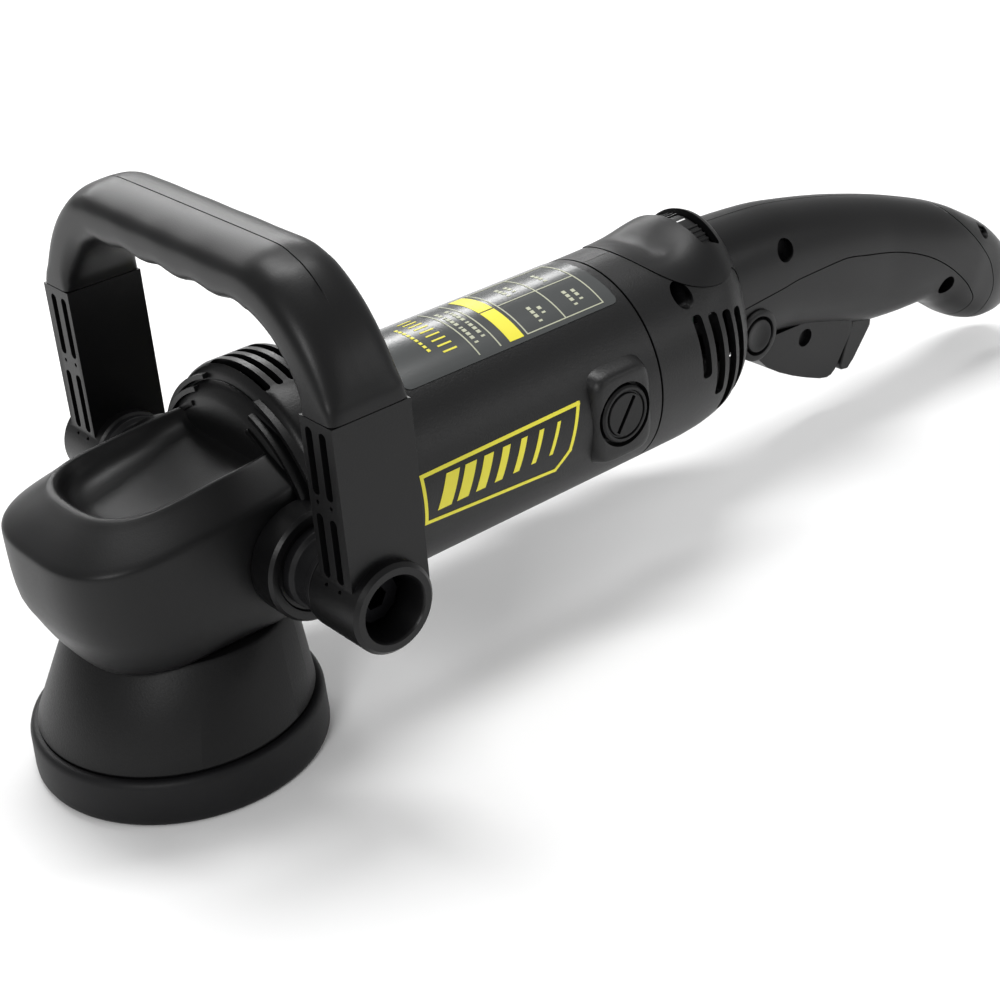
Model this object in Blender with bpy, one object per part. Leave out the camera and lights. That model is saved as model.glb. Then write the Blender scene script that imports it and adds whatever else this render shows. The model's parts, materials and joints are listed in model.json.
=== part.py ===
"""Dual-action car polisher: shrouded gear head, bail handle, barrel motor and arched tail handle.

Frame: +X runs from the gear head to the tail handle, +Z is up, and Y = 0 is the middle plane.
The tool stands on the soft ring of its shroud.  Sizes below are in millimetres, measured from
the drive spindle's axis (X = 0) and from the surface it stands on (Z = 0).  Every mesh is then
moved by ORIGIN_X, so that the model's origin is the middle of its footprint.
"""
import math

import bmesh
import bpy
from mathutils import Vector

MM = 0.001
GAP = 0.3            # clearance between touching pieces
FINE, MID, LOW = 32, 18, 10   # sides of large, medium and small round pieces

# Overall
MOTOR_Z = 67.5       # height of the motor axis
MOTOR_R = 38.0       # motor housing outer radius
TAIL_END = 421.8     # rearmost point of the handle
WALL = 2.8           # moulded wall

# Shroud and its ring
RING_R = 47.3
RING_H = 15.5
RING_T = 3.7         # ring thickness in the radius
SKIRT_WALL = 2.5
SHROUD_TOP_R = 35.4
SHROUD_TOP_Z = 46.5
SHROUD_LEAN = 6.2    # the cone's top is this far behind its rim

# Output
ORBIT = 4.0          # eccentric offset: an 8 mm orbit
THREAD_R = 3.95      # 5/16 inch bore of the pad spindle
PAD_FACE_Z = 8.0     # face that the backing plate meets
PAD_FLANGE_R = 9.5
PAD_SHAFT_R = 6.0
PAD_BEARING_R = 13.0
WEIGHT_R = 29.0

# Gear case and spindle
CASE_R = 33.0
CASE_TOP = 85.0
CASE_LOW = 50.0
NECK_R = 19.8
NECK_Z = 35.0
SPINDLE_R = 7.5
SPINDLE_TIP_R = 5.7
LOWER_BEARING_R = 16.0
LOWER_BEARING_Z = (38.0, 47.0)
UPPER_BEARING_R = 14.0
UPPER_BEARING_Z = (74.3, 81.9)
CROWN_TEETH = 31
PINION_TEETH = 9
PINION_X = (12.0, CASE_R - 9.0)
PINION_R = (5.0, 5.0 + (PINION_X[1] - PINION_X[0]) / 4)
TOOTH = 1.8
CROWN_R = (15.0, CASE_R - 8.0)

# Head cover
HEAD_FRONT = 39.5
HEAD_HALF = 36.5
HEAD_REAR = 20.0
HEAD_TOP = 97.0
HEAD_TILT = 0.09     # the top drops this much per unit of length towards the front
SCOOP_Z = 88.0
SCOOP_HALF = 24.0
SCOOP_FRONT = 23.0

# Nose (vented collar) and motor housing
COLLAR_R = MOTOR_R + 11.8
COLLAR_HALF = MOTOR_R + 8.0
COLLAR_X = (33.2, 37.5, 56.0)   # foot of the collar's face, its full front, its taper
COLLAR_LOW = MOTOR_Z - SHROUD_TOP_Z - GAP
NOSE_END = 71.7
MOTOR_END = 182.2
SHELL_R = MOTOR_R - 2.6       # motor housing inner radius
LABEL_X = (87.0, 177.0)
LABEL_ANGLE = 34.0   # half angle of the label panel, degrees from the top
LABEL_T = 0.6

# Armature
SHAFT_R = 5.0
CORE_R = 20.2
CORE_X = (93.0, 139.0)
STATOR_X = (92.0, 140.0)
FAN_X = (74.0, 82.0)
FAN_R = SHELL_R - 2.4
COMMUTATOR_R = 12.0
BRUSH_X = 162.4
BRUSH_CAP_R = 10.3
BRUSH_FACE = MOTOR_R + 2.2
PAD_Y = MOTOR_R + 2.0         # outer face of the raised pad round a brush cap
PAD_SIZE = (25.0, 32.0)

# Bail handle
HUB = (30.6, 69.6)   # tilt axis of the bail: X and Z
HUB_R = 14.3
HUB_BORE = 10.3
HUB_FACE = 83.2
LEG_X = (19.2, 46.4)
LEG_IN = 63.9
LEG_OUT = 79.2
LEG_TOP = 130.2
GRIP_TOP = 166.4
GRIP_CROWN = 4.0
GRIP_OPEN = 152.0    # underside of the grip
BOSS_R = 18.4
BOSS_FACE = COLLAR_HALF + 1.0
BOLT_R = 4.8
BOLT_HEAD_R = 8.0

# Rear cover and dial
REAR_END = 238.0
SADDLE = (221.0, MOTOR_Z + MOTOR_R + 20.5, 33.0)   # X, Z and radius of the arc that bounds the saddle
DIAL_X = 227.5
DIAL_Z = MOTOR_Z + MOTOR_R - 17.3
DIAL_R = 20.4
DIAL_W = 7.6

# Handle
HANDLE_HALF = 20.5
GRIP_WALL = 3.0
NOSE_HALF = 11.5
TRIGGER_AT = (326.0, 42.0)
TRIGGER_HALF = 6.5
PIN_R = 1.5
LOCK_DRAWN = (248.5, 60.8)
LOCK_R = 6.6
LOCK_FACE = 21.5
SWITCH = ((240.5, 300.0), 8.0, (57.0, 75.0))
GLAND_R = 5.0        # sleeve the power cord leaves by
CORD_R = 3.4
SCREW_HEAD_R = 3.6
SCREW_R = 1.9

RIB_X = 343.5        # rib that the trigger's spring pushes on
GLAND_X = 406.5
DRAWN_END = 421.8    # the handle's tables are drawn for this TAIL_END

ORIGIN_X = (TAIL_END - max(RING_R, HEAD_FRONT)) / 2
SIDES = (("left", -1.0), ("right", 1.0))

BLACK = (0.012, 0.012, 0.013)
SOFT = (0.018, 0.018, 0.019)
STEEL = (0.55, 0.56, 0.58)
CAST = (0.42, 0.43, 0.44)
COPPER = (0.72, 0.34, 0.16)
BRASS = (0.70, 0.52, 0.22)
RED = (0.35, 0.03, 0.02)
CARBON = (0.03, 0.03, 0.03)
GREEN = (0.02, 0.14, 0.07)


# ---------------------------------------------------------------- basic shapes
def faces_from_rings(rings, capped=True):
    """Join rings of equally many points into a closed solid; a one-point ring is a pole."""
    bm = bmesh.new()
    made = [[bm.verts.new(p) for p in ring] for ring in rings]
    pairs = list(zip(made, made[1:])) if capped else list(zip(made, made[1:] + made[:1]))
    for low, high in pairs:
        count = max(len(low), len(high))
        for i in range(count):
            j = (i + 1) % count
            if len(low) == 1 and len(high) == 1:
                continue
            if len(low) == 1:
                bm.faces.new((low[0], high[j], high[i]))
            elif len(high) == 1:
                bm.faces.new((low[i], low[j], high[0]))
            else:
                bm.faces.new((low[i], low[j], high[j], high[i]))
    if capped:
        for ring in (made[0], made[-1]):
            if len(ring) > 2:
                bm.faces.new(ring)
    bmesh.ops.recalc_face_normals(bm, faces=bm.faces)
    return bm


def turned_point(axis, at, r, h, angle):
    """Point of a turned surface: radius r, station h along the axis, around at."""
    a, b = r * math.cos(angle), r * math.sin(angle)
    if axis == "Z":
        return Vector((at[0] + a, at[1] + b, h))
    if axis == "X":
        return Vector((h, at[0] + a, at[1] + b))
    return Vector((at[0] + a, h, at[1] + b))


def turned(profile, axis="Z", at=(0.0, 0.0), sides=MID, turn=0.0):
    """Turn a closed profile of (radius, station) points about an axis."""
    rings = []
    for r, h in profile:
        if r < 1e-6:
            rings.append([turned_point(axis, at, 0.0, h, 0.0)])
            continue
        rings.append([turned_point(axis, at, r, h, turn + 2 * math.pi * i / sides)
                      for i in range(sides)])
    poles = [i for i, ring in enumerate(rings) if len(ring) == 1]
    if poles:
        start = max(poles)
        if poles == [0, len(rings) - 1]:
            start = 0
        rings = rings[start:] + rings[:start]
        return faces_from_rings(rings)
    return faces_from_rings(rings, capped=False)


def rod(r, lo, hi, axis="Z", at=(0.0, 0.0), sides=MID):
    """Plain cylinder between two stations."""
    rings = [[turned_point(axis, at, r, h, 2 * math.pi * i / sides) for i in range(sides)]
             for h in (lo, hi)]
    return faces_from_rings(rings)


def tube(r_in, r_out, lo, hi, axis="Z", at=(0.0, 0.0), sides=MID):
    """Plain ring between two stations."""
    return turned([(r_in, lo), (r_out, lo), (r_out, hi), (r_in, hi)], axis, at, sides)


def box(lo, hi):
    """Axis-aligned block."""
    rings = []
    for z in (lo[2], hi[2]):
        rings.append([Vector((lo[0], lo[1], z)), Vector((hi[0], lo[1], z)),
                      Vector((hi[0], hi[1], z)), Vector((lo[0], hi[1], z))])
    return faces_from_rings(rings)


def prism(outline, lo, hi, axis="Y"):
    """Outline of 2D points pushed along an axis; XZ points for Y, YZ points for X."""
    rings = []
    for h in (lo, hi):
        if axis == "Y":
            rings.append([Vector((a, h, b)) for a, b in outline])
        elif axis == "X":
            rings.append([Vector((h, a, b)) for a, b in outline])
        else:
            rings.append([Vector((a, b, h)) for a, b in outline])
    return faces_from_rings(rings)


def rounded(x0, x1, z0, z1, r, steps=4):
    """Outline of a rounded rectangle."""
    points = []
    corners = ((x1 - r, z1 - r, 0), (x0 + r, z1 - r, 90), (x0 + r, z0 + r, 180),
               (x1 - r, z0 + r, 270))
    for cx, cz, start in corners:
        for i in range(steps + 1):
            a = math.radians(start + 90 * i / steps)
            points.append((cx + r * math.cos(a), cz + r * math.sin(a)))
    return points


def swept(points, r, sides=6):
    """Round bar along a path, with flat ends."""
    rings = []
    normal = None
    for i, p in enumerate(points):
        ahead = points[min(i + 1, len(points) - 1)] - points[max(i - 1, 0)]
        ahead.normalize()
        if normal is None:
            normal = ahead.orthogonal().normalized()
        normal = (normal - ahead * normal.dot(ahead)).normalized()
        side = ahead.cross(normal)
        rings.append([p + normal * (r * math.cos(a)) + side * (r * math.sin(a))
                      for a in (2 * math.pi * k / sides for k in range(sides))])
    return faces_from_rings(rings)


def coil(axis, at, lo, hi, r, wire, turns, steps=7, sides=4):
    """Open compression spring between two stations."""
    count = int(turns * steps)
    path = [turned_point(axis, at, r, lo + wire + (hi - lo - 2 * wire) * i / count,
                         2 * math.pi * turns * i / count) for i in range(count + 1)]
    return swept(path, wire, sides)


def signed_power(value, power):
    """Power that keeps the sign."""
    return math.copysign(abs(value) ** power, value)


# ---------------------------------------------------------------- scene objects
def clear_scene():
    """Remove what the start-up file holds."""
    for item in list(bpy.data.objects):
        bpy.data.objects.remove(item, do_unlink=True)


def material(name, colour, rough, metal=0.0):
    """Principled material of a sub-part."""
    mat = bpy.data.materials.new(name)
    mat.use_nodes = True
    shader = mat.node_tree.nodes["Principled BSDF"]
    shader.inputs["Base Color"].default_value = (*colour, 1.0)
    shader.inputs["Roughness"].default_value = rough
    shader.inputs["Metallic"].default_value = metal
    return mat


def place(name, bm, origin=(0.0, 0.0, 0.0)):
    """Make an object of a mesh given in millimetres, with its origin on a chosen point."""
    for vert in bm.verts:
        vert.co = (vert.co - Vector(origin)) * MM
    mesh = bpy.data.meshes.new(name)
    bm.to_mesh(mesh)
    bm.free()
    item = bpy.data.objects.new(name, mesh)
    item.location = ((origin[0] - ORIGIN_X) * MM, origin[1] * MM, origin[2] * MM)
    bpy.context.scene.collection.objects.link(item)
    return item


def piece(name, bm, colour, rough, metal=0.0, origin=(0.0, 0.0, 0.0), crease=32.0):
    """A sub-part with its own material."""
    item = place(name, bm, origin)
    item.data.materials.append(material(name, colour, rough, metal))
    item.data.shade_smooth()
    item.data.set_sharp_from_angle(angle=math.radians(crease))
    return item


def tool(name, bm):
    """A cutter: drawn as wire and left out of the render."""
    item = place(name, bm)
    item.hide_render = True
    item.display_type = "WIRE"
    return item


def combine(item, cutter, operation):
    """Add a live Boolean."""
    step = item.modifiers.new(cutter.name, "BOOLEAN")
    step.operation = operation
    step.solver = "EXACT"
    step.object = cutter
    return step


def cut(item, bm, label):
    """Take a shape away."""
    combine(item, tool(f"{item.name}_{label}", bm), "DIFFERENCE")


def add(item, bm, label):
    """Merge a shape in."""
    combine(item, tool(f"{item.name}_{label}", bm), "UNION")


def keep(item, bm, label):
    """Keep only what lies inside a shape."""
    combine(item, tool(f"{item.name}_{label}", bm), "INTERSECT")


# ---------------------------------------------------------------- output and gear head
def shroud_ring(z, r, lean):
    """Circle of the shroud at one height."""
    return [Vector((lean + r * math.cos(a), r * math.sin(a), z))
            for a in (2 * math.pi * i / FINE for i in range(FINE))]


def make_shroud():
    """Cone skirt with a flange that closes on the gear case's neck, and the soft ring."""
    ring_in = RING_R - RING_T
    skirt = ring_in - GAP
    lip = 2.7
    foot = RING_H + GAP
    outer = [shroud_ring(lip + GAP, skirt, 0.0), shroud_ring(foot, skirt, 0.0),
             shroud_ring(foot + 0.2, skirt + 0.9, 0.0),
             shroud_ring(SHROUD_TOP_Z - 1.0, SHROUD_TOP_R + 0.4, SHROUD_LEAN),
             shroud_ring(SHROUD_TOP_Z, SHROUD_TOP_R - 0.6, SHROUD_LEAN)]
    shroud = piece("shroud", faces_from_rings(outer), BLACK, 0.55)
    top = SHROUD_TOP_Z - SKIRT_WALL
    inner = [shroud_ring(lip - 1.0, skirt - SKIRT_WALL, 0.0),
             shroud_ring(foot, skirt - SKIRT_WALL, 0.0),
             shroud_ring(top, SHROUD_TOP_R - SKIRT_WALL, SHROUD_LEAN)]
    cut(shroud, faces_from_rings(inner), "hollow")
    cut(shroud, rod(NECK_R + GAP, top - 1, SHROUD_TOP_Z + 1), "neck")
    ring = [(skirt - SKIRT_WALL + 0.4, 0.0), (RING_R - 1.0, 0.0), (RING_R, 1.0),
            (RING_R - 0.4, RING_H - 0.5), (RING_R - 0.9, RING_H), (ring_in, RING_H),
            (ring_in, lip), (skirt - SKIRT_WALL + 0.4, lip)]
    piece("shroud_bumper", turned(ring, sides=FINE), SOFT, 0.75)


def make_output():
    """Eccentric hub, its bearing and the threaded pad spindle."""
    bearing = (15.0, 24.0)
    web = bearing[1] + GAP + 0.2
    cup = PAD_BEARING_R + GAP
    hub = piece("counterweight", rod(cup + 3.4, 13.0, web + 2.5, at=(ORBIT, 0.0)), STEEL, 0.45,
                1.0)
    add(hub, rod(SPINDLE_R + 6.0, web, NECK_Z - 2.3), "boss")
    half = [(0.0, -WEIGHT_R)]
    half += [(WEIGHT_R * math.cos(a), WEIGHT_R * math.sin(a))
             for a in (math.radians(-90 - 180 * i / 16) for i in range(1, 16))]
    half += [(0.0, WEIGHT_R)]
    add(hub, prism(half, 18.0, 29.5, "Z"), "mass")
    cut(hub, rod(cup, 10.0, web, at=(ORBIT, 0.0)), "cup")
    cut(hub, rod(SPINDLE_R + GAP, web + 1.5, NECK_Z), "bore")
    piece("pad_bearing", tube(PAD_SHAFT_R + GAP, PAD_BEARING_R, *bearing, at=(ORBIT, 0.0)),
          STEEL, 0.3, 1.0)
    low, shoulder = PAD_FACE_Z, bearing[0] - 1.0
    profile = [(THREAD_R, low), (PAD_FLANGE_R, low), (PAD_FLANGE_R, shoulder),
               (PAD_SHAFT_R, shoulder), (PAD_SHAFT_R, bearing[1]), (0.0, bearing[1]),
               (0.0, bearing[1] - 3.0), (THREAD_R, bearing[1] - 3.0)]
    piece("pad_spindle", turned(profile, at=(ORBIT, 0.0), sides=LOW), STEEL, 0.35, 1.0,
          origin=(ORBIT, 0.0, low))


def make_case():
    """Cast gear case with its neck, the two spindle bearings and the retainer."""
    b0, b1 = LOWER_BEARING_Z
    u0, u1 = UPPER_BEARING_Z
    low_r = LOWER_BEARING_R + GAP
    up_r = UPPER_BEARING_R + 0.2
    inside = CASE_R - 6.5
    profile = [(low_r, NECK_Z), (NECK_R, NECK_Z), (NECK_R, CASE_LOW), (CASE_R - 3, CASE_LOW + 2.5),
               (CASE_R, CASE_LOW + 8), (CASE_R, CASE_TOP - 3), (CASE_R - 3, CASE_TOP),
               (0.0, CASE_TOP), (0.0, u1 + GAP), (up_r, u1 + GAP), (up_r, u0 - GAP),
               (up_r + 2.2, u0 - GAP), (up_r + 2.2, CASE_TOP - 4), (inside, CASE_TOP - 4),
               (inside, b1 + 5.5), (low_r - 2.3, b1 + 5.5), (low_r - 2.3, b1 + GAP),
               (low_r, b1 + GAP)]
    case = piece("gear_case", turned(profile, sides=MID), CAST, 0.5, 0.9)
    barrel = rod(17.5, CASE_R - 7.5, 40.0, "X", (0.0, MOTOR_Z), MID)
    add(case, barrel, "barrel")
    cut(case, rod(11.2, 16.8, 31.0, "X", (0.0, MOTOR_Z), LOW), "mouth")
    cut(case, rod(13.0 + GAP, 30.6, 41.0, "X", (0.0, MOTOR_Z), MID), "seat")
    piece("bearing_retainer", tube(low_r - 6.0, low_r - 0.4, NECK_Z + 0.2, b0 - GAP), STEEL, 0.4,
          1.0)
    piece("spindle_bearing_lower", tube(SPINDLE_R + GAP, LOWER_BEARING_R, b0, b1), STEEL, 0.3,
          1.0)
    piece("spindle_bearing_upper", tube(SPINDLE_TIP_R + GAP, UPPER_BEARING_R, u0, u1), STEEL,
          0.3, 1.0)


def toothed(teeth, section, wheel_axis, at):
    """Bevel gear: section(high) gives the profile at a tooth's crest or root."""
    rings = {True: section(True), False: section(False)}
    count = teeth * 2
    columns = []
    for i in range(count):
        angle = 2 * math.pi * i / count
        profile = rings[i % 2 == 0]
        columns.append([turned_point(wheel_axis, at, r, h, angle) for r, h in profile])
    return faces_from_rings(columns, capped=False)


def make_gears():
    """Drive spindle, and the bevel pair; crests stay clear of one another."""
    x0, x1 = PINION_X
    r0, r1 = PINION_R
    bore = SHAFT_R - 1.0 + GAP

    def pinion(high):
        drop = 0.0 if high else TOOTH
        return [(bore, x0 - 1), (r0 - drop * 0.3, x0 - 1), (r0 - drop * 0.3, x0),
                (r1 - drop, x1), (r1 - drop, x1 + 1.0), (bore, x1 + 1.0)]

    piece("bevel_pinion", toothed(PINION_TEETH, pinion, "X", (0.0, MOTOR_Z)), STEEL, 0.35, 1.0,
          origin=(x0, 0.0, MOTOR_Z))

    def clear_of_pinion(r):
        tip = r0 + (r1 - r0) * (r - x0) / (x1 - x0)
        return MOTOR_Z - tip - GAP

    base = LOWER_BEARING_Z[1] + 6.0
    c0, c1 = CROWN_R

    def crown(high):
        drop = 0.0 if high else TOOTH
        return [(SPINDLE_R + GAP, base), (c1 - 2, base), (c1, base + 3),
                (c1, clear_of_pinion(c1) - drop), (c0, clear_of_pinion(c0) - drop),
                (c0 - 1.5, clear_of_pinion(c0) - TOOTH - 0.6),
                (SPINDLE_R + GAP, clear_of_pinion(c0) - TOOTH - 0.6)]

    piece("crown_gear", toothed(CROWN_TEETH, crown, "Z", (0.0, 0.0)), STEEL, 0.35, 1.0)
    foot = 15.0 + 9.0 + GAP + 0.2 + 1.5 + GAP
    profile = [(0.0, foot), (SPINDLE_R, foot), (SPINDLE_R, 61.5), (SPINDLE_TIP_R, 62.0),
               (SPINDLE_TIP_R, UPPER_BEARING_Z[1]), (0.0, UPPER_BEARING_Z[1])]
    piece("drive_spindle", turned(profile, sides=LOW), STEEL, 0.3, 1.0)


def head_ring(z, front, half, rear, power=3.0, count=14, tilt=0.0):
    """D-shaped outline of the head at one height, sloping down towards the front."""
    points = [(rear, -half)]
    for i in range(count + 1):
        t = math.radians(-90 + 180 * i / count)
        x = -front * signed_power(math.cos(t), 2 / power) if i not in (0, count) else 0.0
        points.append((x, half * signed_power(math.sin(t), 2 / power)))
    points.append((rear, half))
    return [Vector((x, y, z + tilt * x)) for x, y in points]


def make_head_cover():
    """Soft boot over the gear case; its top is dished and open towards the collar."""
    low = SHROUD_TOP_Z + GAP
    side = ((low, -8.0, -4.2, 0.0), (low + 3, -6.4, -2.8, 0.0), (low + 9.5, -3.5, -0.6, 0.0),
            (low + 14.5, -1.5, 0.0, 0.0))
    rim = ((HEAD_TOP - 12, 0.0, 0.0, 0.7), (HEAD_TOP - 8, -0.9, -0.8, 1.0),
           (HEAD_TOP - 5, -3.8, -3.4, 1.0), (HEAD_TOP, -11.5, -10.0, 1.0))
    outer = [head_ring(z, HEAD_FRONT + a, HEAD_HALF + b, HEAD_REAR, tilt=HEAD_TILT * k)
             for z, a, b, k in side + rim]
    cover = piece("head_cover", faces_from_rings(outer), SOFT, 0.6)
    roof = min(SCOOP_Z - 2.6, CASE_TOP + 0.5)
    rows = ((low + WALL, -5.9, -3.0), (low + 5.5, -4.7, -1.9), (low + 9.5, -3.5, -0.5),
            (low + 14.5, -1.5, 0.0), (roof, -0.5, 0.0))
    inner = [head_ring(z, HEAD_FRONT + a - WALL, HEAD_HALF + b - WALL, HEAD_REAR + 5)
             for z, a, b in rows]
    cut(cover, faces_from_rings(inner), "hollow")
    cut(cover, rod(NECK_R + GAP, low - 1, low + WALL + 1), "neck")
    rows = ((SCOOP_Z, -5.0, -5.0), (SCOOP_Z + 3, -1.8, -1.5), (HEAD_TOP - 1.5, 0.0, 0.0),
            (HEAD_TOP + 4, 1.0, 1.0))
    scoop = [head_ring(z, SCOOP_FRONT + a, SCOOP_HALF + b, HEAD_REAR + 5) for z, a, b in rows]
    cut(cover, faces_from_rings(scoop), "scoop")


# ---------------------------------------------------------------- nose and motor
def body_ring(x, half, up, down, low_power=2.0, count=28, up_power=2.0):
    """Cross-section of the body at one station, around the motor axis."""
    points = []
    for i in range(count):
        t = 2 * math.pi * i / count
        c, s = math.cos(t), math.sin(t)
        p, height = (2 / up_power, up) if s >= 0 else (2 / low_power, down)
        points.append(Vector((x, half * signed_power(c, p), MOTOR_Z + height * signed_power(s, p))))
    return points


def make_nose():
    """Vented collar between head and motor, with a boss for the bail on each side."""
    start = HEAD_REAR + GAP
    foot, full, taper = COLLAR_X
    rim = HEAD_TOP - MOTOR_Z
    floor = SCOOP_Z - MOTOR_Z

    def flare(k, low):
        return (MOTOR_R + (COLLAR_HALF - MOTOR_R) * k, MOTOR_R + (COLLAR_R - MOTOR_R) * k,
                MOTOR_R + (COLLAR_LOW - MOTOR_R) * low)

    rows = [(start, HEAD_HALF - 0.2, rim - 0.6, COLLAR_LOW, 3.4, 3.4),
            (foot, HEAD_HALF + 2.5, rim + 2.5, COLLAR_LOW, 3.4, 3.0),
            (foot + 1.4, COLLAR_HALF - 4.0, COLLAR_R - 6.5, COLLAR_LOW, 3.4, 2.0),
            (full, COLLAR_HALF, COLLAR_R, COLLAR_LOW, 3.4, 2.0),
            (SHROUD_LEAN + SHROUD_TOP_R + 2.0, COLLAR_HALF, COLLAR_R, COLLAR_LOW, 3.3, 2.0),
            (taper, *flare(1.0, 0.7), 2.6, 2.0), (NOSE_END - 8, *flare(0.52, 0.4), 2.3, 2.0),
            (NOSE_END - 3, *flare(0.12, 0.1), 2.1, 2.0),
            (NOSE_END, *flare(0.0, 0.0), 2.0, 2.0)]
    rings = [body_ring(x, half, up, down, p, 28, q) for x, half, up, down, p, q in rows]
    room = [(start + 3.2, HEAD_HALF - WALL, floor - 0.4, COLLAR_LOW - WALL, 3.4, 3.4),
            (foot + 0.2, HEAD_HALF - 0.3, floor + 3.4, COLLAR_LOW - WALL, 3.4, 3.0),
            (foot + 4.4, COLLAR_HALF - 4.0 - WALL, COLLAR_R - 7.2 - WALL, COLLAR_LOW - WALL, 3.4,
             2.0), (full + 3.6, COLLAR_HALF - WALL, COLLAR_R - WALL, COLLAR_LOW - WALL, 3.3, 2.0)]
    for x, k, low, p in ((taper - 0.8, 1.0, 0.7, 2.6), (NOSE_END - 8.7, 0.52, 0.4, 2.3),
                         (NOSE_END - 3.4, 0.12, 0.1, 2.1), (NOSE_END + 2, 0.0, 0.0, 2.0)):
        room.append((x, *(r - WALL for r in flare(k, low)), p, 2.0))
    hollow = [body_ring(x, half, up, down, p, 28, q) for x, half, up, down, p, q in room]
    nose = piece("nose_housing", faces_from_rings(rings), BLACK, 0.5)
    for side, s in SIDES:
        lo, hi = sorted((s * (HEAD_HALF + GAP), s * BOSS_FACE))
        add(nose, rod(BOSS_R, lo, hi, "Y", HUB, MID), f"boss_{side}")
    cut(nose, faces_from_rings(hollow), "hollow")
    sill = MOTOR_Z - COLLAR_LOW + WALL
    cut(nose, box((start - 1, -34.2, sill), (start + 5, 34.2, CASE_TOP + GAP)), "mouth")
    dish = [(start - 1, SCOOP_Z + 0.4), (foot - 0.6, SCOOP_Z + 6.2), (foot - 0.6, HEAD_TOP + 9),
            (start - 1, HEAD_TOP + 9)]
    cut(nose, prism(dish, -SCOOP_HALF, SCOOP_HALF), "dish")
    for side, s in SIDES:
        lo, hi = sorted((s * 30.0, s * (BOSS_FACE + 1)))
        cut(nose, rod(BOLT_R + GAP, lo, hi, "Y", HUB, LOW), f"thread_{side}")
    for k in range(4):
        x = full + 1.3 + 4.7 * k
        cut(nose, box((x, -14.3, MOTOR_Z + COLLAR_R - 18.8), (x + 2.4, 14.3, MOTOR_Z + COLLAR_R + 10)), f"vent_{k}")


def arc_panel(r0, r1, lo, hi, half_angle, steps=8):
    """Part of a ring about the motor axis, centred on the top."""
    outline = []
    for r, order in ((r1, 1), (r0, -1)):
        for i in range(steps + 1):
            a = math.radians(90 - order * (half_angle - 2 * half_angle * i / steps))
            outline.append((r * math.cos(a), MOTOR_Z + r * math.sin(a)))
    return prism(outline, lo, hi, "X")


def make_motor_housing():
    """Barrel with a rear web that holds the bearing, brush-cap pads and the label's recess."""
    x0, x1 = NOSE_END + GAP, MOTOR_END
    web = x1 - 8.2
    at = (0.0, MOTOR_Z)
    bearing_r = 11.0 + GAP
    barrel = piece("motor_housing", rod(MOTOR_R, x0, x1, "X", at, FINE), BLACK, 0.45)
    w, h = PAD_SIZE
    pad = rounded(BRUSH_X - w / 2, BRUSH_X + w / 2 - 1, MOTOR_Z - h / 2, MOTOR_Z + h / 2, 5.0)
    add(barrel, prism(pad, -PAD_Y, PAD_Y), "pads")
    cut(barrel, rod(SHELL_R, x0 - 1, web, "X", at, FINE), "bore")
    for k in range(6):
        a = math.radians(30 + 60 * k)
        spot = (23.7 * math.cos(a), MOTOR_Z + 23.7 * math.sin(a))
        cut(barrel, rod(4.8, web - 1, x1 + 1, "X", spot, 10), f"air_{k}")
    cut(barrel, tube(bearing_r + 2.7, SHELL_R, web + 4.5, x1 + 1, "X", at, FINE), "pocket")
    cut(barrel, rod(bearing_r, web + 1.8, x1 + 1, "X", at, MID), "seat")
    cut(barrel, rod(SHAFT_R + 1.5, web - 1, web + 3, "X", at, LOW), "passage")
    for side, s in SIDES:
        step = BRUSH_FACE - 2.8
        well = [(0.0, s * 27.7), (8.0 + GAP, s * 27.7), (8.0 + GAP, s * step),
                (BRUSH_CAP_R + GAP, s * step), (BRUSH_CAP_R + GAP, s * (PAD_Y + 2.3)),
                (0.0, s * (PAD_Y + 2.3))]
        cut(barrel, turned(well, "Y", (BRUSH_X, MOTOR_Z), MID), f"cap_well_{side}")
    recess = arc_panel(MOTOR_R - 0.7, MOTOR_R + 4, LABEL_X[0] - GAP, LABEL_X[1] + GAP,
                       LABEL_ANGLE + 0.5)
    cut(barrel, recess, "recess")
    panel = arc_panel(MOTOR_R - 0.7 + GAP, MOTOR_R - 0.7 + GAP + LABEL_T, *LABEL_X, LABEL_ANGLE)
    piece("top_label", panel, (0.03, 0.03, 0.032), 0.35)


def make_stator():
    """Laminated field core and its two coils."""
    at = (0.0, MOTOR_Z)
    x0, x1 = STATOR_X
    piece("stator_core", tube(CORE_R + GAP, SHELL_R - GAP, x0, x1, "X", at, FINE), STEEL, 0.6, 1.0)
    for name, lo, hi in (("field_coil_front", x0 - 7.5, x0 - GAP),
                         ("field_coil_rear", x1 + GAP, x1 + 7.5)):
        piece(name, tube(CORE_R + 1.0, SHELL_R - 1.4, lo, hi, "X", at, MID), COPPER, 0.4, 0.8)


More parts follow.
